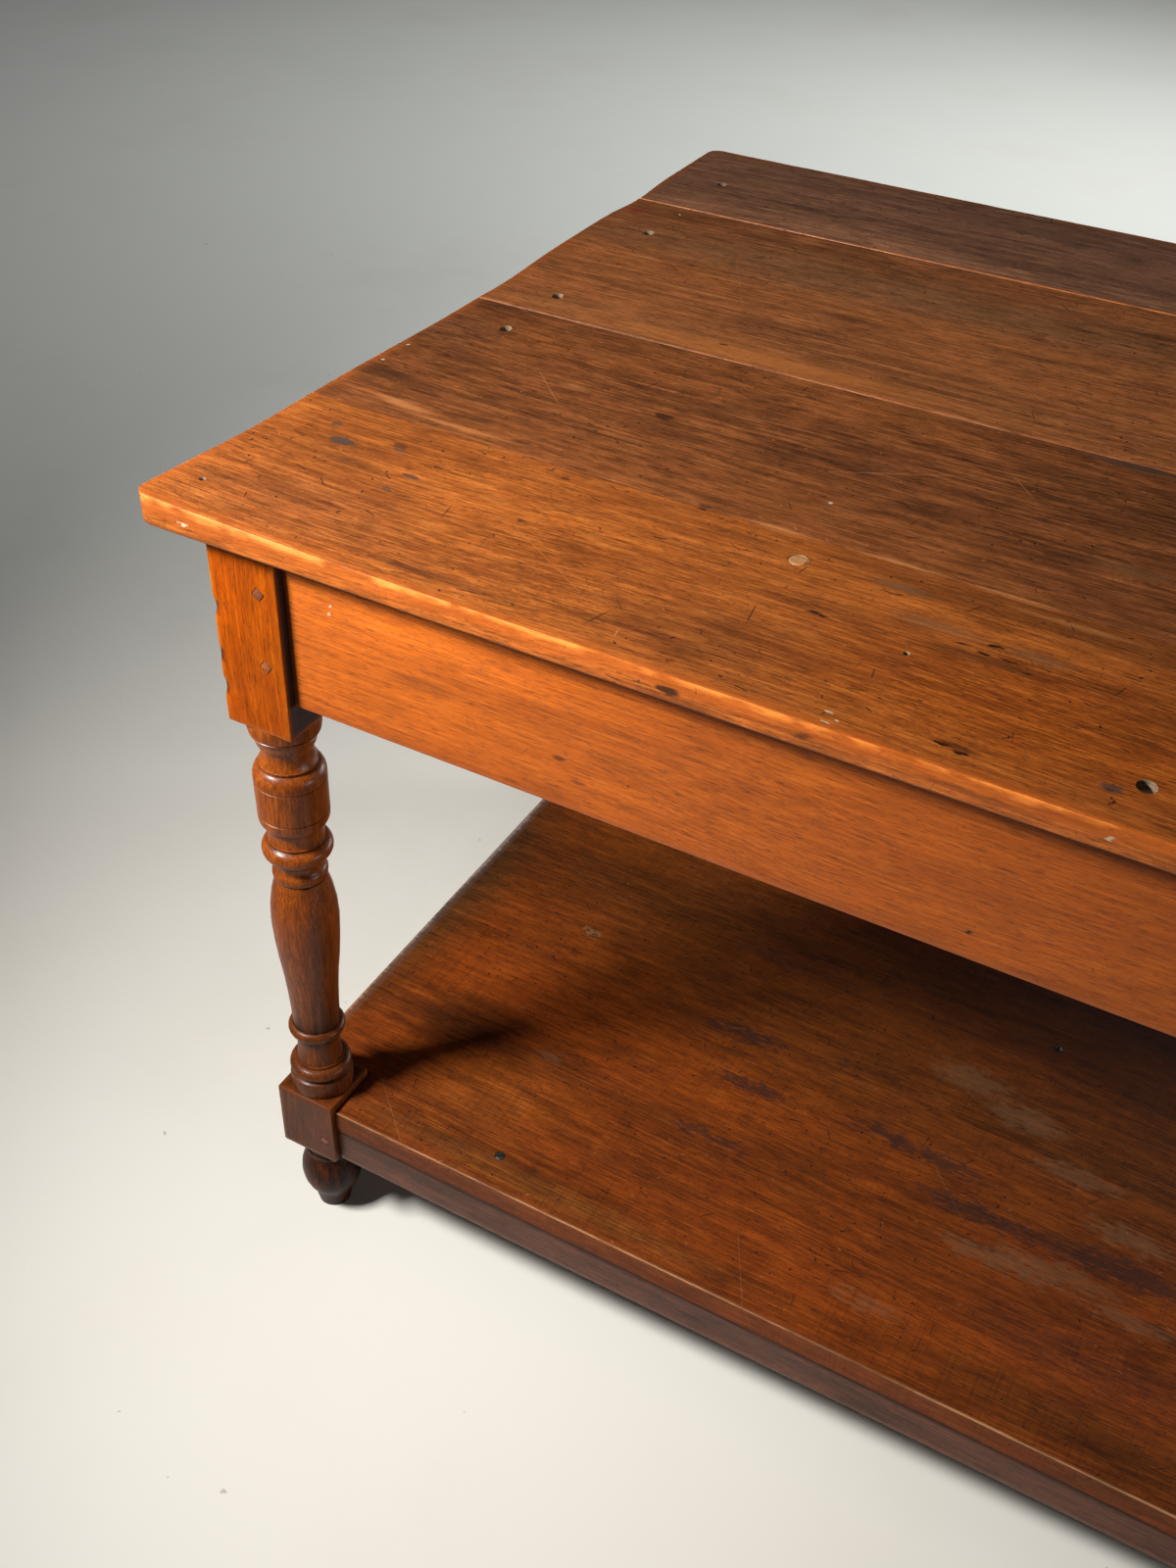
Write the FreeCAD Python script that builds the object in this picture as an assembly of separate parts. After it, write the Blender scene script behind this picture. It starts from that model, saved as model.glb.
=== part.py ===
import FreeCAD, Part
import os

# A long drapers' table: a plank top on four turned legs, joined by deep plain aprons,
# with a low plank shelf on rails. Millimetres. X runs along the table, the front is
# towards -Y, Z is up, and the origin is on the floor below the middle of the top.

V = FreeCAD.Vector

# Whole table
table_length = 2000.0
table_depth = 910.0
table_height = 800.0

# Top boards, laid side by side from front to back
top_thick = 21.0
top_joint_shares = (0.22, 0.475, 0.8045)
end_wear = 20.0
end_wear_shares = (0.0, 0.48, 0.9, 1.0, 0.85)
corner_round = 12.0
upper_round = 6.0
lower_round = 3.0

# Tongue and groove between boards, stopped short of the ends
tongue_thick = 7.0
tongue_deep = 8.0
groove_spare = 1.0
tongue_stop = 60.0

# Legs
end_overhang = 40.0
front_overhang = 24.5
block_side = 60.5
upper_block_high = 175.0
lower_block_high = 76.6
foot_height = 98.4
shaft_radius = 30.2
foot_radius = 28.9

# Aprons, tenoned into the upper blocks
apron_thick = 21.0
apron_setback = 8.6
block_drop = 30.0
apron_tenon_thick = 9.0
apron_tenon_lower = 10.0
apron_tenon_upper = 26.0
tenon_gap = 5.0
mortise_spare = 1.0

# Shelf rails, tenoned into the lower blocks
rail_deep = 42.0
rail_thick = 42.0
rail_tenon_thick = 12.0
rail_tenon_lower = 6.0
rail_tenon_upper = 8.0

# Shelf boards on the rails
shelf_thick = 26.0
shelf_setback = 6.0
shelf_lip = 1.5
shelf_end_out = 6.0
shelf_joint_shares = (0.34, 0.67)
shelf_round = 2.0
notch_gap = 0.8

# Cross bearers under the top and under the shelf
bearer_wide = 40.0
bearer_deep = 45.0
bearer_tenon_wide = 24.0
bearer_tenon_deep = 10.0
bearer_place_share = 1 / 6
bearer_tenon_shares = (0.3, 0.8)

# Square riven pegs through the tenons, turned in their holes by an angle in degrees
peg_side = 8.0
peg_turn = 35.0
peg_past = 4.0
apron_peg_in_share = 0.52
apron_peg_height_shares = (0.24, 0.68)
rail_peg_in_share = 0.5
rail_peg_height_share = 0.64

# Screws
screw_shank = 5.0
screw_head = 9.0
screw_head_deep = 3.0
counterbore_diameter = 12.0
counterbore_deep = 6.0
apron_bite = 28.0
rail_bite = 24.0
end_screw_shares = (0.408, 0.522, 0.766, 0.985)
side_screw_shares = (0.3375, 0.6625)
shelf_screw_in = 34.8
shelf_screw_shares = (0.0888, 0.9112)

# Pale plug let into the front board
plug_diameter = 13.0
plug_deep = 7.0
plug_along_share = -0.281
plug_across_share = 0.185

# How far a cut runs past the face that it opens, and how near counts as on a plane
overrun = 1.0
near = 0.01

# Turned outlines from the bottom up: height share, radius share, and the bow of the
# stretch to the next point as a share of its length, positive where it swells
foot_shares = (
    (0.0, 0.55, 0.0),
    (0.19, 0.67, 0.0),
    (0.215, 0.70, 0.155),
    (0.76, 0.75, 0.0),
    (0.765, 0.785, 0.0),
    (0.795, 0.785, 0.0),
    (0.80, 0.735, -0.085),
    (1.0, 0.84, 0.0),
)
shaft_shares = (
    (0.0, 0.945, 0.04),
    (0.043, 0.945, 0.0),
    (0.0457, 0.875, 0.0),
    (0.0483, 0.84, 0.31),
    (0.0765, 0.80, 0.0),
    (0.0775, 0.74, 0.0),
    (0.084, 0.74, 0.0),
    (0.0845, 0.70, -0.05),
    (0.162, 0.70, 0.41),
    (0.189, 0.71, -0.0105),
    (0.334, 0.808, 0.0125),
    (0.492, 0.98, 0.038),
    (0.604, 0.74, 0.0),
    (0.6045, 0.715, 0.19),
    (0.634, 0.70, -0.12),
    (0.661, 0.81, 0.0),
    (0.662, 0.83, 0.305),
    (0.7005, 0.83, 0.0),
    (0.702, 0.80, 0.0),
    (0.703, 0.81, 0.0),
    (0.7075, 0.81, 0.0),
    (0.708, 0.79, -0.09),
    (0.743, 0.83, 0.0),
    (0.7435, 0.845, 0.117),
    (0.7645, 0.985, 0.0),
    (0.774, 0.99, 0.0),
    (0.7753, 0.962, 0.0),
    (0.7766, 0.99, 0.0),
    (0.8512, 0.998, 0.0),
    (0.8525, 0.97, 0.0),
    (0.8538, 0.998, 0.0),
    (0.8625, 1.0, 0.118),
    (0.888, 0.83, 0.0),
    (0.889, 0.80, 0.0),
    (0.8905, 0.813, 0.0),
    (0.895, 0.813, 0.0),
    (0.8955, 0.795, -0.12),
    (0.9405, 0.782, 0.0),
    (0.941, 0.81, -0.07),
    (0.967, 0.955, 0.0),
    (0.9687, 0.927, 0.0),
    (0.9702, 0.965, 0.06),
    (1.0, 0.97, 0.0),
)

# Levels and places that follow from the sizes above
top_under = table_height - top_thick
upper_block_bottom = top_under - upper_block_high
lower_block_top = foot_height + lower_block_high
apron_bottom = upper_block_bottom + block_drop
rail_bottom = foot_height
rail_top = rail_bottom + rail_deep
shelf_top = rail_top + shelf_thick
block_out_x = table_length / 2 - end_overhang
block_out_y = table_depth / 2 - front_overhang
block_in_x = block_out_x - block_side
block_in_y = block_out_y - block_side
rail_setback = shelf_setback + shelf_lip
bearer_x = table_length * bearer_place_share


def box(x_low, x_high, y_low, y_high, z_low, z_high):
    """A block between two corners."""
    return Part.makeBox(x_high - x_low, y_high - y_low, z_high - z_low, V(x_low, y_low, z_low))


def rod(diameter, length, base, direction):
    """A round rod from its base point along a direction."""
    return Part.makeCylinder(diameter / 2, length, base, direction)


def flip_x(shape):
    """The same shape at the other end of the table."""
    return shape.mirror(V(0, 0, 0), V(1, 0, 0))


def flip_y(shape):
    """The same shape at the other side of the table."""
    return shape.mirror(V(0, 0, 0), V(0, 1, 0))


def between(low, high, share):
    """The place at a share of the way from low to high."""
    return low + (high - low) * share


def save(name, solids):
    """Write one node from its solid or solids."""
    Part.makeCompound(solids).exportStep("parts/" + name + ".step")


def turned(shares, base, height, radius):
    """A solid turned about Z from a table of heights, radii and bows."""
    points = [V(r * radius, 0, base + z * height) for z, r, bow in shares]
    edges = [Part.LineSegment(V(0, 0, base), points[0]).toShape()]
    for index in range(len(points) - 1):
        low, high = points[index], points[index + 1]
        bow = shares[index][2]
        if bow == 0:
            edges.append(Part.LineSegment(low, high).toShape())
        else:
            rise = high - low
            middle = (low + high) * 0.5 + V(rise.z * bow, 0, -rise.x * bow)
            edges.append(Part.Arc(low, middle, high).toShape())
    edges.append(Part.LineSegment(points[-1], V(0, 0, base + height)).toShape())
    edges.append(Part.LineSegment(V(0, 0, base + height), V(0, 0, base)).toShape())
    return Part.Face(Part.Wire(edges)).revolve(V(0, 0, 0), V(0, 0, 1), 360)


def screw(length, head_face):
    """A countersunk screw driven down, with the middle of its head's flat face given."""
    down = V(0, 0, -1)
    head = Part.makeCone(screw_head / 2, screw_shank / 2, screw_head_deep, head_face, down)
    return head.fuse(rod(screw_shank, length, head_face, down)).removeSplitter()


def peg(length, outer_face, from_end):
    """A square peg driven in from the front, or from the table's end."""
    half = peg_side / 2
    solid = box(-half, half, 0, length, -half, half)
    solid.rotate(V(0, 0, 0), V(0, 1, 0), peg_turn)
    if from_end:
        solid.rotate(V(0, 0, 0), V(0, 0, 1), -90)
    solid.translate(outer_face)
    return solid


# Tenons and the mortises that take them


def apron_tenon_length():
    """Tenon length that leaves the named gap to the tenon from the other side."""
    return block_side - apron_setback - (apron_thick + apron_tenon_thick) / 2 - tenon_gap


def rail_tenon_length():
    """Tenon length in the lower block, by the same rule."""
    return block_side - rail_setback - (rail_thick + rail_tenon_thick) / 2 - tenon_gap


def cross_piece(face, thick, bottom, top, tenon, lower, upper, tenon_thick, spare):
    """A rail along X with its outer face at y = -face, and the tenons at both of its ends."""
    centre = thick / 2 - face
    body = box(-block_in_x, block_in_x, -face, thick - face, bottom, top)
    reach = block_in_x + tenon + spare
    tenons = box(-reach, reach, centre - tenon_thick / 2, centre + tenon_thick / 2,
                 bottom + lower, top - upper)
    return body.fuse(tenons).removeSplitter()


def end_piece(face, thick, bottom, top, tenon, lower, upper, tenon_thick, spare):
    """A rail along Y with its outer face at x = -face, and the tenons at both of its ends."""
    centre = thick / 2 - face
    body = box(-face, thick - face, -block_in_y, block_in_y, bottom, top)
    reach = block_in_y + tenon + spare
    tenons = box(centre - tenon_thick / 2, centre + tenon_thick / 2, -reach, reach,
                 bottom + lower, top - upper)
    return body.fuse(tenons).removeSplitter()


def apron(builder, out, spare):
    """An apron made by builder, with its outer face set back from the block's face."""
    return builder(out - apron_setback, apron_thick, apron_bottom, top_under, apron_tenon_length(),
                   apron_tenon_lower, apron_tenon_upper, apron_tenon_thick, spare)


def shelf_rail(builder, out, spare):
    """A shelf rail made by builder, set back behind the shelf's edge."""
    return builder(out - rail_setback, rail_thick, rail_bottom, rail_top, rail_tenon_length(),
                   rail_tenon_lower, rail_tenon_upper, rail_tenon_thick, spare)


# Pegs of the front left leg


def corner_pegs(setback, thick, tenon_thick, tenon, in_share, heights):
    """Pegs through both tenons of the front left leg, at the given heights."""
    length = setback + (thick + tenon_thick) / 2 + peg_past
    along = tenon * in_share
    pegs = []
    for height in heights:
        front = V(-block_in_x - along, -block_out_y, height)
        side = V(-block_out_x, -block_in_y - along, height)
        pegs.append(peg(length, front, False))
        pegs.append(peg(length, side, True))
    return pegs


def all_corners(solids):
    """Copies of the front left corner's solids at all four corners."""
    ends = solids + [flip_x(solid) for solid in solids]
    return ends + [flip_y(solid) for solid in ends]


apron_corner_pegs = corner_pegs(
    apron_setback, apron_thick, apron_tenon_thick, apron_tenon_length(), apron_peg_in_share,
    [between(apron_bottom, top_under, share) for share in apron_peg_height_shares])
rail_corner_pegs = corner_pegs(
    rail_setback, rail_thick, rail_tenon_thick, rail_tenon_length(), rail_peg_in_share,
    [between(rail_bottom, rail_top, rail_peg_height_share)])
apron_pegs = all_corners(apron_corner_pegs)
rail_pegs = all_corners(rail_corner_pegs)


# Boards


def joint_places(depth, joint_shares):
    """The front edge, joints and back edge of a set of boards, as places in Y."""
    return [between(-depth / 2, depth / 2, share) for share in (0, *joint_shares, 1)]


def tongue(place, half, middle, spare):
    """A tongue that reaches forward from a joint, or its groove where spare is given."""
    reach = half - tongue_stop
    return box(-reach, reach, place - tongue_deep - spare, place + overrun,
               middle - tongue_thick / 2, middle + tongue_thick / 2)


def edges_at(shape, height, joints):
    """The edges of a board's rim at a height, leaving out those along its joints."""
    rim = []
    for edge in shape.Edges:
        centre = edge.CenterOfMass
        level = all(abs(vertex.Z - height) < near for vertex in edge.Vertexes)
        on_joint = any(abs(centre.y - place) < near for place in joints)
        if level and not on_joint:
            rim.append(edge)
    return rim


def top_board(index, places):
    """One plank of the top, with its worn left end and rounded outer rim."""
    front, back = places[index], places[index + 1]
    half = table_length / 2
    corners = [V(end_wear * end_wear_shares[index] - half, front, top_under), V(half, front, top_under),
               V(half, back, top_under), V(end_wear * end_wear_shares[index + 1] - half, back, top_under)]
    plan = Part.Face(Part.makePolygon(corners + corners[:1]))
    board = plan.extrude(V(0, 0, top_thick))
    outer = [place for place in (front, back) if place in (places[0], places[-1])]
    joints = [place for place in (front, back) if place not in outer]
    upright = [edge for edge in board.Edges
               if any(abs(edge.CenterOfMass.y - place) < near for place in outer)
               and edge.BoundBox.ZLength > top_thick / 2]
    if upright:
        board = board.makeFillet(corner_round, upright)
    board = board.makeFillet(upper_round, edges_at(board, table_height, joints))
    board = board.makeFillet(lower_round, edges_at(board, top_under, joints))
    middle = top_under + top_thick / 2
    if front in joints:
        board = board.fuse(tongue(front, half, middle, 0))
    if back in joints:
        board = board.cut(tongue(back, half, middle, groove_spare))
    return board.removeSplitter()


def shelf_board(index, places):
    """One plank of the shelf, with corner notches round the lower blocks."""
    front, back = places[index], places[index + 1]
    half = block_out_x + shelf_end_out
    board = box(-half, half, front, back, rail_top, shelf_top)
    outer = [place for place in (front, back) if place in (places[0], places[-1])]
    joints = [place for place in (front, back) if place not in outer]
    board = board.makeFillet(shelf_round, edges_at(board, shelf_top, joints))
    notch_x = block_in_x - notch_gap
    notch_y = block_in_y - notch_gap
    for place in outer:
        edge = abs(place) + overrun
        notch = box(-half - overrun, -notch_x, -edge, -notch_y, rail_top - overrun,
                    shelf_top + overrun)
        if place > 0:
            notch = flip_y(notch)
        board = board.cut(notch).cut(flip_x(notch))
    middle = rail_top + shelf_thick / 2
    if front in joints:
        board = board.fuse(tongue(front, half, middle, 0))
    if back in joints:
        board = board.cut(tongue(back, half, middle, groove_spare))
    return board.removeSplitter()


top_places = joint_places(table_depth, top_joint_shares)
shelf_places = joint_places(2 * (block_out_y - shelf_setback), shelf_joint_shares)


# Cross bearers, built at the middle of the table and then moved along it


def bearer(inner_face, deep, top, spare):
    """A bearer between the inner faces of two rails, with a stub tenon at each end."""
    half = bearer_wide / 2
    body = box(-half, half, -inner_face, inner_face, top - deep, top)
    reach = inner_face + bearer_tenon_deep + spare
    low_share, high_share = bearer_tenon_shares
    stub = box(-bearer_tenon_wide / 2, bearer_tenon_wide / 2, -reach, reach,
               between(top - deep, top, low_share), between(top - deep, top, high_share))
    return body.fuse(stub).removeSplitter()


def at_bearers(shape):
    """The shape at the left and at the right bearer."""
    left, right = shape.copy(), shape.copy()
    left.translate(V(-bearer_x, 0, 0))
    right.translate(V(bearer_x, 0, 0))
    return [left, right]


apron_inner = block_out_y - apron_setback - apron_thick
rail_inner = block_out_y - rail_setback - rail_thick
top_bearers = at_bearers(bearer(apron_inner, bearer_deep, top_under, 0))
shelf_bearers = at_bearers(bearer(rail_inner, rail_deep, rail_top, 0))
apron_sockets = at_bearers(bearer(apron_inner, bearer_deep, top_under, mortise_spare))
rail_sockets = at_bearers(bearer(rail_inner, rail_deep, rail_top, mortise_spare))


# Screws

end_apron_middle = block_out_x - apron_setback - apron_thick / 2
side_apron_middle = block_out_y - apron_setback - apron_thick / 2
head_level = table_height - counterbore_deep
top_screw_spots = []
for end in (-end_apron_middle, end_apron_middle):
    for share in end_screw_shares:
        top_screw_spots.append(V(end, between(-block_in_y, block_in_y, share), head_level))
for side in (-side_apron_middle, side_apron_middle):
    for share in side_screw_shares:
        top_screw_spots.append(V(between(-block_in_x, block_in_x, share), side, head_level))
top_screw_length = top_thick - counterbore_deep + apron_bite
top_screws = [screw(top_screw_length, spot) for spot in top_screw_spots]
counterbores = [rod(counterbore_diameter, counterbore_deep + overrun, spot, V(0, 0, 1))
                for spot in top_screw_spots]

shelf_screw_y = block_out_y - shelf_setback - shelf_screw_in
shelf_screw_spots = [V(-bearer_x, 0, shelf_top), V(bearer_x, 0, shelf_top)]
for side in (-shelf_screw_y, shelf_screw_y):
    for share in shelf_screw_shares:
        shelf_screw_spots.append(V(between(-block_in_x, block_in_x, share), side, shelf_top))
shelf_screws = [screw(shelf_thick + rail_bite, spot) for spot in shelf_screw_spots]

plug = rod(plug_diameter, plug_deep,
           V(table_length * plug_along_share,
             between(-table_depth / 2, table_depth / 2, plug_across_share),
             table_height - plug_deep), V(0, 0, 1))


# Legs: foot, lower block, shaft and upper block in one piece, with their mortises


def leg():
    """The front left leg."""
    axis = V(block_side / 2 - block_out_x, block_side / 2 - block_out_y, 0)
    foot = turned(foot_shares, 0, foot_height, foot_radius)
    shaft = turned(shaft_shares, lower_block_top, upper_block_bottom - lower_block_top, shaft_radius)
    foot.translate(axis)
    shaft.translate(axis)
    lower = box(-block_out_x, -block_in_x, -block_out_y, -block_in_y, foot_height, lower_block_top)
    upper = box(-block_out_x, -block_in_x, -block_out_y, -block_in_y, upper_block_bottom, top_under)
    solid = foot.multiFuse([lower, shaft, upper])
    mortises = [apron(cross_piece, block_out_y, mortise_spare),
                apron(end_piece, block_out_x, mortise_spare),
                shelf_rail(cross_piece, block_out_y, mortise_spare),
                shelf_rail(end_piece, block_out_x, mortise_spare)]
    return solid.cut(mortises + apron_corner_pegs + rail_corner_pegs)


os.makedirs("parts", exist_ok=True)

leg_front_left = leg()
leg_back_left = flip_y(leg_front_left)
save("leg_front_left", [leg_front_left])
save("leg_back_left", [leg_back_left])
save("leg_front_right", [flip_x(leg_front_left)])
save("leg_back_right", [flip_x(leg_back_left)])

apron_holes = apron_pegs + top_screws + apron_sockets
apron_front = apron(cross_piece, block_out_y, 0)
apron_left = apron(end_piece, block_out_x, 0)
save("apron_front", [apron_front.cut(apron_holes)])
save("apron_back", [flip_y(apron_front).cut(apron_holes)])
save("apron_left", [apron_left.cut(apron_holes)])
save("apron_right", [flip_x(apron_left).cut(apron_holes)])

rail_holes = rail_pegs + shelf_screws + rail_sockets
rail_front = shelf_rail(cross_piece, block_out_y, 0)
rail_left = shelf_rail(end_piece, block_out_x, 0)
save("shelf_rail_front", [rail_front.cut(rail_holes)])
save("shelf_rail_back", [flip_y(rail_front).cut(rail_holes)])
save("shelf_rail_left", [rail_left.cut(rail_holes)])
save("shelf_rail_right", [flip_x(rail_left).cut(rail_holes)])

for side, solid in zip(("left", "right"), top_bearers):
    save("top_bearer_" + side, [solid])
for side, solid in zip(("left", "right"), shelf_bearers):
    save("shelf_bearer_" + side, [solid.cut(shelf_screws)])

top_holes = top_screws + counterbores + [plug]
for index, name in enumerate(("front", "second", "third", "back")):
    save("top_board_" + name, [top_board(index, top_places).cut(top_holes)])
for index, name in enumerate(("front", "middle", "back")):
    save("shelf_board_" + name, [shelf_board(index, shelf_places).cut(shelf_screws)])

save("top_screws", top_screws)
save("shelf_screws", shelf_screws)
save("apron_pegs", apron_pegs)
save("rail_pegs", rail_pegs)
save("top_plug", [plug])
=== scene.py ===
import logging
import math
from collections.abc import Callable, Iterable
from dataclasses import dataclass, field
from enum import Enum
from functools import partial

import bmesh
import bpy
from mathutils import Matrix, Vector, noise


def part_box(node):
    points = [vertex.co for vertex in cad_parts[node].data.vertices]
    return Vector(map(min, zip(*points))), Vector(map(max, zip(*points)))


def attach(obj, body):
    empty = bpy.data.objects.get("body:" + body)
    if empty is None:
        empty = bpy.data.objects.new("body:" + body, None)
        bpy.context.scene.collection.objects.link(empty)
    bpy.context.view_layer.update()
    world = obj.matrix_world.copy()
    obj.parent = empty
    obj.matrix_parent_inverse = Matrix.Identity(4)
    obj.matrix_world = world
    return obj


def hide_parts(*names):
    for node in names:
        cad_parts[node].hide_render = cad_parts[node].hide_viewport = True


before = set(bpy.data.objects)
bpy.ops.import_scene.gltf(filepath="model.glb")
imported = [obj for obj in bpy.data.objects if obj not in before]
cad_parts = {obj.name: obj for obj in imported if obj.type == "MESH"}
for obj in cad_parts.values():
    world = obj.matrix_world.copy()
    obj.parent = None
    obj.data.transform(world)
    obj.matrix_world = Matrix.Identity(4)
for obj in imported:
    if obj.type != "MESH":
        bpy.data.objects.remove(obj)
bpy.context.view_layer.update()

# The looks of an old drapers' table: worn planks, turned legs, pegged joints and a low
# shelf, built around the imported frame. Metres, with the front towards -Y.

BODY = "root"
TINY = 1e-5
SHARP_ANGLE = math.radians(38)
WEAR_LAYER = "wear"
HOLLOW_LAYER = "hollow"

log = logging.getLogger("drapers_table")

Colour = tuple[float, float, float, float]
Spot = tuple[float, float, float]
Row = tuple[float, ...]
Pair = tuple[float, float]
Outline = list[Pair]
Mesh = bmesh.types.BMesh
Edge = bmesh.types.BMEdge
Material = bpy.types.Material
Tree = bpy.types.NodeTree
Node = bpy.types.Node
Socket = bpy.types.NodeSocket
Feed = Socket | float | tuple | Vector


def tint(red: float, green: float, blue: float) -> Colour:
    """Give a colour for a shader socket from the values that a paint chart shows.

    Args:
        red: Red from 0 to 255.
        green: Green from 0 to 255.
        blue: Blue from 0 to 255.

    Returns:
        The colour in linear light, with full opacity.
    """
    shares = [channel / 255 for channel in (red, green, blue)]
    linear = [s / 12.92 if s <= 0.04045 else ((s + 0.055) / 1.055) ** 2.4 for s in shares]
    return (linear[0], linear[1], linear[2], 1.0)


def ease_step(value: float, low: float, high: float) -> float:
    """Rise smoothly from 0 at low to 1 at high."""
    share = min(max((value - low) / (high - low), 0.0), 1.0)
    return share * share * (3 - 2 * share)


def ripple(place: Vector, stretch: Spot, seed: float = 0.0) -> float:
    """Read a smooth field of bumps from about -1 to 1, the same at every run."""
    scaled = Vector(p * s for p, s in zip(place, stretch))
    return noise.noise(scaled + Vector((seed, seed * 1.7, -seed)))


def along(table: Iterable[Pair], place: float) -> float:
    """Read a table of places and values, straight between its rows.

    Args:
        table: Rows of place and value, with the places rising.
        place: Where to read.

    Returns:
        The value there, held at both ends.
    """
    rows = list(table)
    if place <= rows[0][0]:
        return rows[0][1]
    for (low, first), (high, second) in zip(rows, rows[1:]):
        if place <= high:
            return first + (second - first) * (place - low) / (high - low)
    return rows[-1][1]


class Blend(Enum):
    """How one colour lies on another."""

    COVER = "MIX"
    SHADE = "MULTIPLY"


class Wiring:
    """Short calls that add and join the nodes of one material or group."""

    def __init__(self, tree: Tree) -> None:
        """Work on one node tree."""
        self.tree = tree

    def node(self, kind: str, **settings: object) -> Node:
        """Add a node.

        Args:
            kind: Blender's name for the node.
            settings: Properties of the node and their values.

        Returns:
            The new node.
        """
        made = self.tree.nodes.new(kind)
        for name, value in settings.items():
            setattr(made, name, value)
        return made

    def feed(self, socket: Socket, value: Feed) -> None:
        """Join a socket to another one, or set its value.

        Args:
            socket: The input socket.
            value: An output socket, or the value to set.
        """
        if isinstance(value, Socket):
            self.tree.links.new(value, socket)
        else:
            socket.default_value = value

    def math(self, operation: str, first: Feed, second: Feed = 0.0, clamp: bool = False) -> Socket:
        """Work out one number from two.

        Args:
            operation: The Math node's operation.
            first: The first number.
            second: The second number.
            clamp: Whether the result is kept from 0 to 1.

        Returns:
            The socket with the result.
        """
        made = self.node("ShaderNodeMath", operation=operation, use_clamp=clamp)
        self.feed(made.inputs[0], first)
        self.feed(made.inputs[1], second)
        return made.outputs[0]

    def vector(self, operation: str, first: Feed, second: Feed) -> Socket:
        """Work out one vector from two.

        Args:
            operation: The Vector Math node's operation.
            first: The first vector.
            second: The second vector.

        Returns:
            The socket with the result.
        """
        made = self.node("ShaderNodeVectorMath", operation=operation)
        self.feed(made.inputs[0], first)
        self.feed(made.inputs[1], second)
        return made.outputs[0]

    def smooth(self, value: Feed, low: Feed, high: Feed, start: float = 0.0, end: float = 1.0) -> Socket:
        """Rise smoothly from start to end while a value goes from low to high.

        Args:
            value: The value that drives the rise.
            low: Where the rise starts.
            high: Where the rise ends.
            start: The result below low.
            end: The result above high.

        Returns:
            The socket with the result.
        """
        made = self.node("ShaderNodeMapRange", interpolation_type="SMOOTHSTEP")
        for socket, given in zip(made.inputs, (value, low, high, start, end)):
            self.feed(socket, given)
        return made.outputs[0]

    def mix(self, share: Feed, first: Feed, second: Feed, blend: Blend = Blend.COVER) -> Socket:
        """Blend two colours.

        Args:
            share: How much of the second colour shows.
            first: The colour below.
            second: The colour laid over it.
            blend: How the second colour is laid.

        Returns:
            The socket with the colour.
        """
        made = self.node("ShaderNodeMix", data_type="RGBA", blend_type=blend.value)
        self.feed(made.inputs[0], share)
        self.feed(made.inputs[6], first)
        self.feed(made.inputs[7], second)
        return made.outputs[2]

    def lay(self, below: Feed, mask: Feed, strength: Feed, over: Feed) -> Socket:
        """Lay a colour over another where a mask of some strength shows."""
        return self.mix(self.math("MULTIPLY", mask, strength), below, over)

    def place(self, group: Tree, **inputs: Feed) -> Node:
        """Add a node group.

        Args:
            group: The group's own tree.
            inputs: A value or socket for each input, by name.

        Returns:
            The group's node.
        """
        made = self.node("ShaderNodeGroup", node_tree=group)
        for name, value in inputs.items():
            self.feed(made.inputs[name], value)
        return made


@dataclass(frozen=True)
class Cloud:
    """A field of noise: bumps per metre along each axis, and how fine it gets."""

    stretch: Spot
    detail: float = 2.0
    roughness: float = 0.5

    def at(self, w: Wiring, place: Feed, output: str = "Fac") -> Socket:
        """Wire the field at a place.

        Args:
            w: The wiring of a group or material.
            place: The place.
            output: The output of the noise that is read.

        Returns:
            The socket with values from 0 to 1.
        """
        made = w.node("ShaderNodeTexNoise")
        w.feed(made.inputs["Vector"], w.vector("MULTIPLY", place, self.stretch))
        w.feed(made.inputs["Scale"], 1.0)
        w.feed(made.inputs["Detail"], self.detail)
        w.feed(made.inputs["Roughness"], self.roughness)
        return made.outputs[output]


DRIFT = Cloud((1.6, 4.0, 4.0), 1.0)
BROAD_FIGURE = Cloud((1.5, 11.0, 11.0), 3.0, 0.6)
NARROW_FIGURE = Cloud((3.0, 110.0, 110.0), 3.0, 0.6)
FINE_LINES = Cloud((9.0, 560.0, 560.0), 2.0, 0.6)
PORES = Cloud((170.0, 1300.0, 1300.0), 1.0)
FIBRES = Cloud((60.0, 1100.0, 1100.0), 2.0, 0.7)
SLOW_GRIME = Cloud((5.0, 11.0, 11.0), 3.0, 0.6)
BLOTS = Cloud((19.0, 48.0, 48.0), 4.0, 0.6)
MOTTLE = Cloud((22.0, 110.0, 110.0), 5.0, 0.78)
SAW_MARKS = Cloud((420.0, 9.0, 9.0))
CROWDING = Cloud((9.0, 13.0, 13.0))
BROKEN_WEAR = Cloud((30.0, 150.0, 150.0), 4.0, 0.7)
METAL_BLOTCH = Cloud((420.0, 420.0, 420.0), 3.0, 0.6)
FLOOR_SCUFFS = Cloud((2.0, 2.0, 2.0), 5.0, 0.6)
FLOOR_FLECKS = Cloud((60.0, 60.0, 60.0))
FRAY = Cloud((90.0, 260.0, 260.0))
GRAIN_SWAY = 0.05
BROAD_SHARE = 0.75


class SocketKind(Enum):
    """What a socket of a node group carries."""

    VALUE = "NodeSocketFloat"
    VECTOR = "NodeSocketVector"
    COLOUR = "NodeSocketColor"

    def each(self, *names: str) -> dict[str, "SocketKind"]:
        """Give several sockets of this kind."""
        return dict.fromkeys(names, self)


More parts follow.
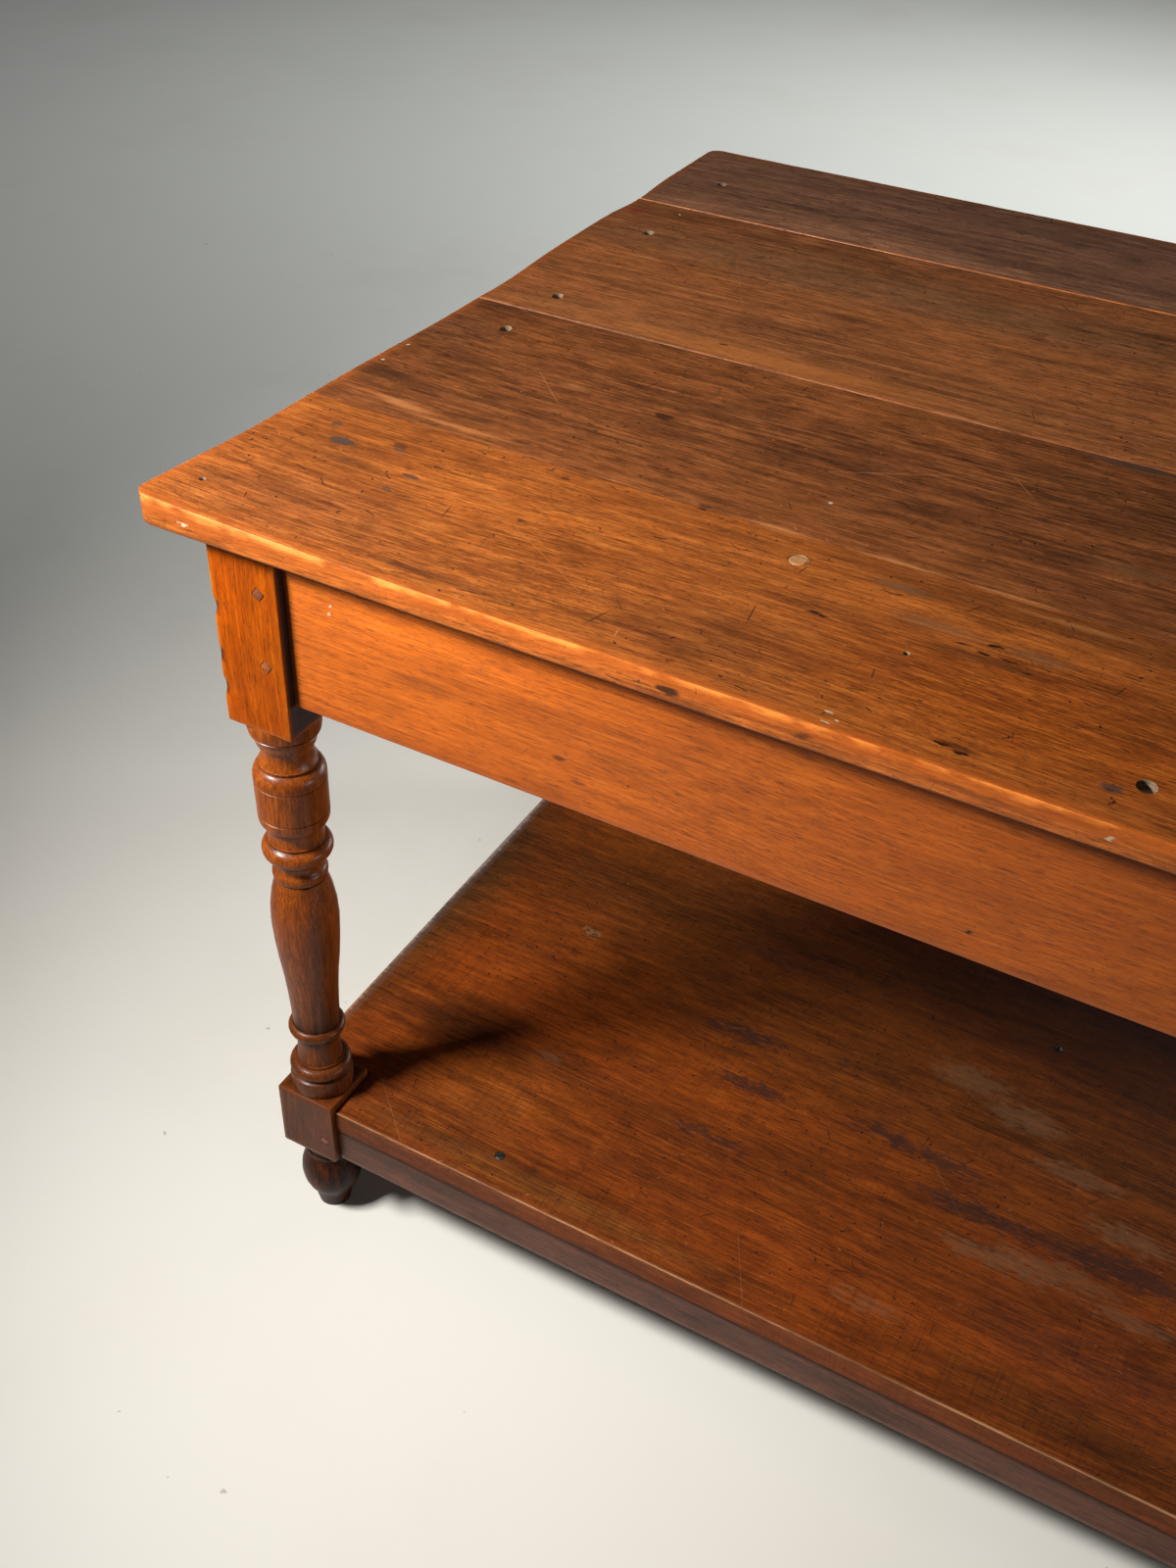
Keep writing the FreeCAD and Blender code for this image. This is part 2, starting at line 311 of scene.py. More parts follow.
@dataclass
class EffectGroup:
    """A shader node group that several finishes share."""

    name: str
    inputs: dict[str, SocketKind]
    outputs: dict[str, SocketKind]
    fill: Callable[[Wiring, Node, Node], None]

    def tree(self) -> Tree:
        """Give the group's tree, built at the first call.

        Returns:
            The node tree.
        """
        known = bpy.data.node_groups.get(self.name)
        if known:
            return known
        tree = bpy.data.node_groups.new(self.name, "ShaderNodeTree")
        for name, kind in self.inputs.items():
            tree.interface.new_socket(name=name, in_out="INPUT", socket_type=kind.value)
        for name, kind in self.outputs.items():
            tree.interface.new_socket(name=name, in_out="OUTPUT", socket_type=kind.value)
        wiring = Wiring(tree)
        given = wiring.node("NodeGroupInput")
        result = wiring.node("NodeGroupOutput")
        self.fill(wiring, given, result)
        return tree


def fill_grain(w: Wiring, given: Node, result: Node) -> None:
    """Wire the grain of wood that runs along X: broad streaks, fine lines and pores.

    Args:
        w: The group's wiring.
        given: The group's input node.
        result: The group's output node.
    """
    place = given.outputs["Vector"]
    sway = w.math("MULTIPLY", w.math("SUBTRACT", DRIFT.at(w, place), 0.5), GRAIN_SWAY)
    bend = w.node("ShaderNodeCombineXYZ")
    w.feed(bend.inputs["Y"], sway)
    w.feed(bend.inputs["Z"], sway)
    swayed = w.vector("ADD", place, bend.outputs[0])
    broad = w.math("MULTIPLY", BROAD_FIGURE.at(w, swayed), BROAD_SHARE)
    narrow = w.math("MULTIPLY", NARROW_FIGURE.at(w, swayed), 1.0 - BROAD_SHARE)
    lines = FINE_LINES.at(w, swayed)
    pores = PORES.at(w, swayed)
    fibres = FIBRES.at(w, swayed)
    w.feed(result.inputs["Streaks"], w.smooth(w.math("ADD", broad, narrow), 0.36, 0.68))
    w.feed(result.inputs["Lines"], lines)
    w.feed(result.inputs["Fibres"], fibres)
    w.feed(result.inputs["Pores"], w.smooth(pores, 0.6, 0.72))


def fill_strokes(w: Wiring, given: Node, result: Node) -> None:
    """Wire straight strokes, one in some cells of a flat pattern, each at its own angle.

    Args:
        w: The group's wiring.
        given: The group's input node.
        result: The group's output node.
    """
    have = given.outputs
    parts = w.node("ShaderNodeSeparateXYZ")
    w.feed(parts.inputs[0], have["Vector"])
    flat = w.node("ShaderNodeCombineXYZ")
    w.feed(flat.inputs["X"], parts.outputs["X"])
    w.feed(flat.inputs["Y"], w.math("ADD", parts.outputs["Y"], parts.outputs["Z"]))
    scaled = w.vector("MULTIPLY", flat.outputs[0], have["Density"])
    cells = w.node("ShaderNodeTexVoronoi", voronoi_dimensions="2D")
    w.feed(cells.inputs["Vector"], scaled)
    cells.inputs["Scale"].default_value = 1.0
    luck = w.node("ShaderNodeSeparateXYZ")
    w.feed(luck.inputs[0], cells.outputs["Color"])
    turn = w.node("ShaderNodeVectorRotate", rotation_type="Z_AXIS")
    w.feed(turn.inputs["Vector"], w.vector("SUBTRACT", scaled, cells.outputs["Position"]))
    spread = w.math("MULTIPLY", w.math("SUBTRACT", luck.outputs["X"], 0.5), have["Turn"])
    w.feed(turn.inputs["Angle"], spread)
    local = w.node("ShaderNodeSeparateXYZ")
    w.feed(local.inputs[0], turn.outputs[0])
    length = w.math("MULTIPLY", have["Length"], have["Density"])
    length = w.math("MULTIPLY", length, w.math("ADD", luck.outputs["Y"], 0.3))
    width = w.math("MULTIPLY", have["Width"], have["Density"])
    lengthways = w.math("DIVIDE", w.math("ABSOLUTE", local.outputs["X"]), length)
    crossways = w.math("DIVIDE", w.math("ABSOLUTE", local.outputs["Y"]), width)
    tapered = w.smooth(lengthways, 0.6, 1.0, 1.0, 0.0)
    mask = w.math("MULTIPLY", tapered, w.smooth(crossways, 0.3, 1.0, 1.0, 0.0))
    chosen = w.math("LESS_THAN", luck.outputs["Z"], have["Share"])
    w.feed(result.inputs["Mask"], w.math("MULTIPLY", mask, chosen))


def fill_mark(w: Wiring, given: Node, result: Node) -> None:
    """Wire the mask of one mark: a stain, a bruise, a worn patch, a change of tone, or a patch of painted
    light and shade.

    Args:
        w: The group's wiring.
        given: The group's input node.
        result: The group's output node.
    """
    local = w.node("ShaderNodeMapping", vector_type="TEXTURE")
    for socket, name in (
            ("Vector", "Vector"), ("Location", "Centre"), ("Rotation", "Turn"), ("Scale", "Reach")):
        w.feed(local.inputs[socket], given.outputs[name])
    away = w.node("ShaderNodeVectorMath", operation="LENGTH")
    w.feed(away.inputs[0], local.outputs[0])
    edge = w.math("SUBTRACT", 1.0, given.outputs["Softness"])
    w.feed(result.inputs["Mask"], w.smooth(away.outputs["Value"], 1.0, edge))


GRAIN = EffectGroup(
    "wood grain",
    SocketKind.VECTOR.each("Vector"),
    SocketKind.VALUE.each("Streaks", "Lines", "Fibres", "Pores"),
    fill_grain,
)
STROKES = EffectGroup(
    "strokes",
    SocketKind.VECTOR.each("Vector") | SocketKind.VALUE.each("Density", "Length", "Width", "Turn", "Share"),
    SocketKind.VALUE.each("Mask"),
    fill_strokes,
)
MARK = EffectGroup(
    "single mark",
    SocketKind.VECTOR.each("Vector", "Centre", "Turn", "Reach") | SocketKind.VALUE.each("Softness"),
    SocketKind.VALUE.each("Mask"),
    fill_mark,
)


@dataclass(frozen=True)
class StrokeKind:
    """One kind of stroke: cells per metre, its sizes, its spread of angles and its share of the cells."""

    density: float
    length: float
    width: float
    turn: float
    share: float

    def at(self, w: Wiring, place: Feed) -> Socket:
        """Wire the strokes at a place, for a mask from 0 to 1."""
        made = w.place(STROKES.tree(), Vector=place, Density=self.density, Length=self.length,
                       Width=self.width, Turn=self.turn, Share=self.share)
        return made.outputs["Mask"]


FLECKS = StrokeKind(38.0, 0.007, 0.0006, 0.6, 0.4)
NICKS = StrokeKind(27.0, 0.007, 0.0006, 3.1, 0.55)
PITS = StrokeKind(52.0, 0.0018, 0.0011, 3.1, 0.4)
CHIPS = StrokeKind(33.0, 0.0022, 0.0007, 1.5, 0.3)
HAIRS = StrokeKind(6.0, 0.07, 0.0003, 2.2, 0.5)


def fill_aged_wood(w: Wiring, given: Node, result: Node) -> None:
    """Wire varnished wood with grain, old dirt, nicks, scratches, rubbed arrises and dark hollows.

    Args:
        w: The group's wiring.
        given: The group's input node.
        result: The group's output node.
    """
    have = given.outputs
    place = have["Vector"]
    grain = w.place(GRAIN.tree(), Vector=place).outputs
    flecks, nicks, pits, chips, hairs = [kind.at(w, place) for kind in (FLECKS, NICKS, PITS, CHIPS, HAIRS)]
    # The wood's own figure
    colour = w.lay(have["Mid"], grain["Streaks"], have["Streaky"], have["Dark"])
    colour = w.lay(colour, w.smooth(grain["Lines"], 0.52, 0.34), have["Lined"], have["Pale"])
    colour = w.lay(colour, w.smooth(grain["Lines"], 0.52, 0.7), have["Lined"], have["Dark"])
    colour = w.lay(colour, w.smooth(grain["Fibres"], 0.54, 0.64), have["Lined"], have["Deep"])
    colour = w.lay(colour, grain["Pores"], have["Pored"], have["Deep"])
    # Old dirt and uneven varnish
    slow = SLOW_GRIME.at(w, place)
    colour = w.lay(colour, w.smooth(slow, 0.5, 0.75), have["Grimy"], have["Deep"])
    blots = BLOTS.at(w, place)
    colour = w.lay(colour, w.smooth(blots, 0.54, 0.74), have["Grimy"], have["Deep"])
    colour = w.mix(w.smooth(blots, 0.44, 0.26, 0.0, 0.3), colour, have["Pale"])
    mottle = MOTTLE.at(w, place)
    mottled = w.math("MULTIPLY", have["Grimy"], 2.0, True)
    colour = w.mix(mottled, colour, w.smooth(mottle, 0.32, 0.68, 1.34, 0.62), Blend.SHADE)
    # Saw marks, nicks and scratches
    sawn = SAW_MARKS.at(w, place)
    sawn = w.math("MULTIPLY", w.smooth(sawn, 0.5, 0.68), w.smooth(slow, 0.62, 0.4))
    sawn = w.math("MULTIPLY", sawn, have["Sawn"])
    colour = w.mix(sawn, colour, have["Deep"])
    nicked = w.math("MAXIMUM", w.math("MAXIMUM", flecks, nicks), pits)
    crowd = w.smooth(CROWDING.at(w, place), 0.4, 0.6, 0.35, 1.0)
    nicked = w.math("MULTIPLY", nicked, w.math("MULTIPLY", crowd, have["Nicked"]))
    colour = w.mix(nicked, colour, have["Deep"])
    scratched = w.math("MULTIPLY", w.math("MAXIMUM", hairs, chips), have["Scratched"])
    colour = w.mix(scratched, colour, have["Bare"])
    # Rubbed arrises and dark hollows
    broken = BROKEN_WEAR.at(w, place)
    worn = w.math("MULTIPLY", have["Wear"], w.smooth(broken, 0.3, 0.7, 0.75, 1.1), True)
    colour = w.mix(w.smooth(worn, 0.05, 0.5, 0.0, 0.5), colour, have["Rub"])
    colour = w.mix(w.smooth(worn, 0.55, 1.0), colour, have["Bare"])
    # The hollow share is dirt, and on the legs, rails and shelf boards also painted shade.
    dirt_and_shade_share = w.math("MULTIPLY", have["Hollow"], w.smooth(broken, 0.2, 0.7, 0.6, 1.1), True)
    w.feed(result.inputs["Color"], w.mix(dirt_and_shade_share, colour, have["Deep"]))
    # Gloss and relief
    rough = w.math("ADD", w.math("MULTIPLY", slow, 0.3), have["Rough"])
    rough = w.math("SUBTRACT", rough, w.math("MULTIPLY", worn, 0.16))
    rough = w.math("ADD", rough, w.math("MULTIPLY", grain["Pores"], 0.15), True)
    w.feed(result.inputs["Roughness"], rough)
    raised = w.math("MULTIPLY", grain["Lines"], 0.5)
    height = w.math("ADD", raised, w.math("MULTIPLY", grain["Pores"], -0.45))
    cuts = w.math("ADD", nicked, w.math("ADD", scratched, w.math("MULTIPLY", sawn, 0.5)))
    w.feed(result.inputs["Height"], w.math("SUBTRACT", height, cuts))


AGED_WOOD = EffectGroup(
    "aged wood",
    SocketKind.VECTOR.each("Vector")
    | SocketKind.COLOUR.each("Pale", "Mid", "Dark", "Deep", "Rub", "Bare")
    | SocketKind.VALUE.each("Wear", "Hollow", "Streaky", "Lined", "Pored", "Grimy", "Scratched", "Nicked",
                            "Sawn", "Rough"),
    SocketKind.COLOUR.each("Color") | SocketKind.VALUE.each("Roughness", "Height"),
    fill_aged_wood,
)


class Grain(Enum):
    """Which way the grain of a piece runs, as a turn of its pattern."""

    ALONG_X = (0.0, 0.0, 0.0)
    ALONG_Y = (0.0, 0.0, math.pi / 2)
    ALONG_Z = (0.0, math.pi / 2, 0.0)


@dataclass(frozen=True)
class Mark:
    """One stain, bruise, worn patch, change of tone or patch of painted light and shade at a place on the
    table.
    """

    at: Spot
    reach: Spot
    colour: Colour
    strength: float = 0.8
    softness: float = 0.5
    turn: float = 0.0
    frayed: bool = True
    blend: Blend = Blend.COVER


@dataclass(frozen=True)
class Tones:
    """The colours of one wood: grain, old dirt, rubbed varnish and bare wood."""

    pale: Colour
    mid: Colour
    dark: Colour
    deep: Colour
    rub: Colour
    bare: Colour

    @classmethod
    def of(cls, *charted: Spot) -> "Tones":
        """Give the tones from the values that a paint chart shows."""
        return cls(*[tint(*row) for row in charted])


@dataclass(frozen=True)
class Finish:
    """A named look, which each kind of finish wires in its own way."""

    name: str

    def material(self) -> Material:
        """Build the material, or give the one built before.

        Returns:
            The material of this finish.
        """
        known = bpy.data.materials.get(self.name)
        if known:
            return known
        material = bpy.data.materials.new(self.name)
        material.use_nodes = True
        w = Wiring(material.node_tree)
        place = w.node("ShaderNodeTexCoord").outputs["Object"]
        self.wire(w, material.node_tree.nodes["Principled BSDF"], place)
        return material

    def wire(self, w: Wiring, shader: Node, place: Socket) -> None:
        """Wire the shader from the point on the table."""
        raise NotImplementedError


@dataclass(frozen=True)
class WoodFinish(Finish):
    """A varnished and worn wood: its colours, figure and marks."""

    tones: Tones
    grain: Grain = Grain.ALONG_X
    shift: float = 0.0
    streaky: float = 0.75
    lined: float = 0.5
    pored: float = 0.5
    grimy: float = 0.35
    scratched: float = 0.3
    nicked: float = 0.6
    sawn: float = 0.0
    rough: float = 0.3
    coat: float = 0.15
    coat_rough: float = 0.3
    shine: float = 0.35
    bump: float = 0.00015
    fray: Spot = (0.014, 0.005, 0.005)
    marks: tuple[Mark, ...] = ()

    def wire(self, w: Wiring, shader: Node, place: Socket) -> None:
        """Wire the wood, its marks and its varnish.

        Args:
            w: The material's wiring.
            shader: The material's shader.
            place: The point on the table.
        """
        turned = w.node("ShaderNodeMapping")
        w.feed(turned.inputs["Vector"], place)
        turned.inputs["Rotation"].default_value = self.grain.value
        turned.inputs["Location"].default_value = (self.shift, self.shift * 0.7, -self.shift)
        wear = w.node("ShaderNodeAttribute", attribute_name=WEAR_LAYER).outputs["Fac"]
        hollow = w.node("ShaderNodeAttribute", attribute_name=HOLLOW_LAYER).outputs["Fac"]
        tones = self.tones
        wood = w.place(AGED_WOOD.tree(), Vector=turned.outputs[0], Wear=wear, Hollow=hollow,
                       Pale=tones.pale, Mid=tones.mid, Dark=tones.dark, Deep=tones.deep, Rub=tones.rub,
                       Bare=tones.bare, Streaky=self.streaky, Lined=self.lined, Pored=self.pored,
                       Grimy=self.grimy, Scratched=self.scratched, Nicked=self.nicked, Sawn=self.sawn,
                       Rough=self.rough)
        colour = wood.outputs["Color"]
        if self.marks:
            colour = self.lay_marks(w, place, colour)
        w.feed(shader.inputs["Base Color"], colour)
        w.feed(shader.inputs["Roughness"], wood.outputs["Roughness"])
        bump = w.node("ShaderNodeBump")
        w.feed(bump.inputs["Distance"], self.bump)
        w.feed(bump.inputs["Height"], wood.outputs["Height"])
        w.feed(shader.inputs["Normal"], bump.outputs[0])
        w.feed(shader.inputs["Coat Weight"], w.math("MULTIPLY", w.math("SUBTRACT", 1.0, hollow), self.coat))
        shader.inputs["Coat Roughness"].default_value = self.coat_rough
        shader.inputs["Specular IOR Level"].default_value = self.shine

    def lay_marks(self, w: Wiring, place: Socket, colour: Socket) -> Socket:
        """Lay the marks over the wood, with ragged outlines.

        Args:
            w: The material's wiring.
            place: The point on the table.
            colour: The wood's colour.

        Returns:
            The colour with its marks.
        """
        spread = w.vector("SUBTRACT", FRAY.at(w, place, "Color"), (0.5, 0.5, 0.5))
        ragged = w.vector("ADD", place, w.vector("MULTIPLY", spread, self.fray))
        for mark in self.marks:
            spot = w.place(MARK.tree(), Vector=ragged if mark.frayed else place, Centre=mark.at,
                           Turn=(0.0, 0.0, mark.turn), Reach=mark.reach, Softness=mark.softness)
            share = w.math("MULTIPLY", spot.outputs["Mask"], mark.strength)
            colour = w.mix(share, colour, mark.colour, mark.blend)
        return colour


@dataclass(frozen=True)
class MetalFinish(Finish):
    """Dull metal with scuffs and tarnish."""

    bright: Colour
    tarnish: Colour
    metallic: float = 0.9

    def wire(self, w: Wiring, shader: Node, place: Socket) -> None:
        """Wire the blotches of the metal.

        Args:
            w: The material's wiring.
            shader: The material's shader.
            place: The point on the table.
        """
        blotch = METAL_BLOTCH.at(w, place)
        w.feed(shader.inputs["Base Color"], w.mix(w.smooth(blotch, 0.35, 0.65), self.bright, self.tarnish))
        w.feed(shader.inputs["Roughness"], w.smooth(blotch, 0.3, 0.7, 0.35, 0.65))
        shader.inputs["Metallic"].default_value = self.metallic


@dataclass(frozen=True)
class FloorFinish(Finish):
    """A pale studio floor with faint scuffs and flecks of dirt."""

    base: Colour
    scuff: Colour
    fleck: Colour

    def wire(self, w: Wiring, shader: Node, place: Socket) -> None:
        """Wire the scuffs and flecks of the floor.

        Args:
            w: The material's wiring.
            shader: The material's shader.
            place: The point on the floor.
        """
        slow = FLOOR_SCUFFS.at(w, place)
        colour = w.mix(w.smooth(slow, 0.45, 0.8, 0.0, 0.5), self.base, self.scuff)
        fine = FLOOR_FLECKS.at(w, place)
        colour = w.mix(w.smooth(fine, 0.76, 0.8, 0.0, 0.6), colour, self.fleck)
        w.feed(shader.inputs["Base Color"], colour)
        w.feed(shader.inputs["Roughness"], w.smooth(slow, 0.3, 0.7, 0.5, 0.65))


# Meshes

def cut_block(low: Vector, high: Vector) -> Mesh:
    """Make a block between two corners.

    Args:
        low: The lowest corner.
        high: The highest corner.

    Returns:
        A closed mesh.
    """
    bm = bmesh.new()
    bmesh.ops.create_cube(bm, size=1.0)
    bmesh.ops.scale(bm, vec=high - low, verts=bm.verts)
    bmesh.ops.translate(bm, vec=(low + high) / 2, verts=bm.verts)
    return bm


def edges_on(bm: Mesh, test: Callable[[Vector], bool]) -> list[Edge]:
    """Find the edges of a mesh whose two ends both pass a test."""
    return [edge for edge in bm.edges if all(test(vert.co) for vert in edge.verts)]


def ease(bm: Mesh, edges: list[Edge], radius: float, segments: int) -> None:
    """Round some edges of a mesh, in so many strips."""
    bmesh.ops.bevel(bm, geom=edges, offset=radius, offset_type="OFFSET", affect="EDGES",
                    segments=segments, profile=0.5, material=-1, clamp_overlap=True)


def slice_along(bm: Mesh, axis: int, places: Iterable[float]) -> None:
    """Cut a mesh into strips, so that it can be shaped between its edges.

    Args:
        bm: The mesh.
        axis: 0, 1 or 2 for X, Y or Z.
        places: Where each cut goes on that axis.
    """
    normal = Vector((0.0, 0.0, 0.0))
    normal[axis] = 1.0
    for place in places:
        geometry = bm.verts[:] + bm.edges[:] + bm.faces[:]
        bmesh.ops.bisect_plane(bm, geom=geometry, dist=TINY, plane_co=normal * place, plane_no=normal)


def steps(low: float, high: float, step: float) -> list[float]:
    """Spread cuts evenly between two ends, about a step apart."""
    count = max(round((high - low) / step), 1)
    return [low + (high - low) * index / count for index in range(1, count)]


def spin_outline(outline: Outline, segments: int) -> Mesh:
    """Turn an outline about the Z axis into a closed mesh.

    Args:
        outline: Rows of radius and height, from the axis back to the axis.
        segments: How many strips go round.

    Returns:
        A closed mesh at the origin.
    """
    bm = bmesh.new()
    chain = [bm.verts.new((radius, 0.0, height)) for radius, height in outline]
    edges = [bm.edges.new(pair) for pair in zip(chain, chain[1:])]
    bmesh.ops.spin(bm, geom=chain + edges, cent=(0, 0, 0), axis=(0, 0, 1), angle=math.tau,
                   steps=segments, use_merge=True)
    bmesh.ops.remove_doubles(bm, verts=bm.verts, dist=TINY)
    bmesh.ops.recalc_face_normals(bm, faces=bm.faces)
    return bm


def add_copy(bm: Mesh, source: Mesh, matrix: Matrix) -> None:
    """Add a moved copy of one mesh to another.

    Args:
        bm: The mesh that takes the copy.
        source: The mesh that is copied, which is kept.
        matrix: Where the copy goes.
    """
    mesh = bpy.data.meshes.new("copy")
    source.to_mesh(mesh)
    mesh.transform(matrix)
    bm.from_mesh(mesh)
    bpy.data.meshes.remove(mesh)


def gathered(singles: Iterable[Mesh]) -> Mesh:
    """Put several meshes together as one.

    Args:
        singles: Meshes in place, which are freed.

    Returns:
        One mesh with all of them.
    """
    bm = bmesh.new()
    for single in singles:
        add_copy(bm, single, Matrix.Identity(4))
        single.free()
    return bm


def loose_object(name: str, bm: Mesh) -> bpy.types.Object:
    """Put a mesh into the scene for a moment.

    Args:
        name: A name for the object.
        bm: The mesh, which is freed.

    Returns:
        The object.
    """
    mesh = bpy.data.meshes.new(name)
    bm.to_mesh(mesh)
    bm.free()
    made = bpy.data.objects.new(name, mesh)
    bpy.context.scene.collection.objects.link(made)
    return made


class Joinery(Enum):
    """How one closed mesh is worked with another."""

    CUT = "DIFFERENCE"
    FUSE = "UNION"


def work(bm: Mesh, tool: Mesh, joinery: Joinery) -> Mesh:
    """Cut a closed mesh with another, or fuse the two.

    Args:
        bm: The mesh that is worked, which is freed.
        tool: The other mesh, which is freed.
        joinery: Whether to cut or to fuse.

    Returns:
        The worked mesh.
    """
    kept = loose_object("kept", bm)
    other = loose_object("tool", tool)
    boolean = kept.modifiers.new("joinery", "BOOLEAN")
    boolean.object = other
    boolean.operation = joinery.value
    boolean.solver = "EXACT"
    bpy.context.view_layer.update()
    worked = bmesh.new()
    worked.from_object(kept, bpy.context.evaluated_depsgraph_get())
    for used in (kept, other):
        mesh = used.data
        bpy.data.objects.remove(used)
        bpy.data.meshes.remove(mesh)
    return worked


def paint_wear(bm: Mesh, wear: Callable[[Vector], float], hollow: Callable[[Vector], float]) -> None:
    """Write how worn and how sheltered each point is, for the finishes to read.

    Args:
        bm: The mesh.
        wear: Gives a share from 0 to 1 of bare, rubbed wood.
        hollow: Gives a share from 0 to 1 of dark wood: dirt, and on some pieces painted shade.
    """
    wear_layer = bm.verts.layers.float.new(WEAR_LAYER)
    hollow_layer = bm.verts.layers.float.new(HOLLOW_LAYER)
    for vert in bm.verts:
        vert[wear_layer] = wear(vert.co)
        vert[hollow_layer] = hollow(vert.co)


def unworn(place: Vector) -> float:
    """Leave every point as it is."""
    return 0.0


def finish_piece(name: str, bm: Mesh, finishes: list[Material],
                 nodes: Iterable[str]) -> bpy.types.Object:
    """Make a finished mesh a piece of the table.

    Args:
        name: The piece's name.
        bm: The mesh, in place, which is freed.
        finishes: Materials, in the order of the faces' material numbers.
        nodes: The frame's nodes that the piece stands for.

    Returns:
        The piece.
    """
    piece = loose_object(name, bm)
    for material in finishes:
        piece.data.materials.append(material)
    piece.data.polygons.foreach_set("use_smooth", [True] * len(piece.data.polygons))
    piece.data.set_sharp_from_angle(angle=SHARP_ANGLE)
    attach(piece, BODY)
    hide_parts(*nodes)
    log.info("%s: %d faces", name, len(piece.data.polygons))
    return piece


def islands(node: str) -> list[tuple[Vector, Vector]]:
    """Find the separate solids of a frame node.

    Args:
        node: The node's name.

    Returns:
        The lowest and highest corner of each solid.
    """
    bm = bmesh.new()
    bm.from_mesh(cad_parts[node].data)
    bmesh.ops.remove_doubles(bm, verts=bm.verts, dist=TINY)
    left = set(bm.verts)
    boxes = []
    while left:
        group = []
        front = [left.pop()]
        while front:
            vert = front.pop()
            group.append(vert.co.copy())
            linked = [edge.other_vert(vert) for edge in vert.link_edges]
            fresh = [other for other in linked if other in left]
            left.difference_update(fresh)
            front.extend(fresh)
        boxes.append((Vector(map(min, zip(*group))), Vector(map(max, zip(*group)))))
    bm.free()
    return sorted(boxes, key=lambda box: tuple(round(value, 4) for value in box[0]))


def arris_wear(place: Vector, low: Vector, high: Vector, reach: float) -> float:
    """Tell how near a point of a block lies to an arris, from 1 on it to 0 at the reach."""
    gaps = sorted(min(abs(place[axis] - low[axis]), abs(high[axis] - place[axis])) for axis in range(3))
    return 1.0 - ease_step(gaps[1], 0.0, reach)


# Finishes

RAW_WOOD = WoodFinish(
    "raw wood in a hole",
    Tones.of((150, 128, 100), (132, 110, 84), (100, 78, 58), (46, 32, 24), (140, 116, 90),
             (160, 140, 114)),
    pored=0.2, scratched=0.0, nicked=0.0, rough=0.6, coat=0.0,
)

GOUGE = tint(24, 11, 6)
SCAB = tint(58, 48, 41)
SMEAR = tint(42, 24, 14)
RUBBED = tint(160, 102, 56)
GREYED = tint(106, 74, 46)
SPECK = tint(176, 158, 134)
SCRATCH = tint(176, 116, 70)
STAIN = tint(32, 24, 23)
SCUFF = tint(104, 82, 58)

TOP_LEVEL = 0.8
SHELF_LEVEL = 0.1664
MARK_DEPTH = 0.006
FACING_DEPTH = 0.004
SHADE_DEPTH = 0.03


# Rows of marks give a place on X and Y, or on X and Z on an upright face, half a length, half a
# width, a strength and a softness, and a turn where there is one. Rows of shades give a place, half
# a length, half a width, a softness, and the red, green and blue that the wood keeps in the middle.

def marks_on(level: float, colour: Colour, frayed: bool, rows: Iterable[Row]) -> tuple[Mark, ...]:
    """Spread marks of one colour, ragged or not, over a flat face at a level."""
    return tuple(Mark((x, y, level), (length, width, MARK_DEPTH), colour, strength, softness, sum(turn),
                      frayed)
                 for x, y, length, width, strength, softness, *turn in rows)


def marks_facing(front: float, colour: Colour, rows: Iterable[Row]) -> tuple[Mark, ...]:
    """Spread ragged marks of one colour over an upright face at a place on Y."""
    return tuple(Mark((x, front, z), (length, FACING_DEPTH, height), colour, strength, softness)
                 for x, z, length, height, strength, softness in rows)


def shade(at: Spot, reach: Spot, softness: float, kept: Spot) -> Mark:
    """Make a soft lighter or darker patch, with the shares of colour that the wood keeps in the middle; it
    serves for the wood's tone and, in places, for painted light and shade.
    """
    return Mark(at, reach, (*kept, 1.0), 1.0, softness, 0.0, False, Blend.SHADE)


def shades_on(level: float, rows: Iterable[Row]) -> tuple[Mark, ...]:
    """Spread soft lighter or darker patches, for tone and in places painted light and shade, over a flat
    face at a level.
    """
    return tuple(shade((x, y, level), (length, width, SHADE_DEPTH), softness, (red, green, blue))
                 for x, y, length, width, softness, red, green, blue in rows)


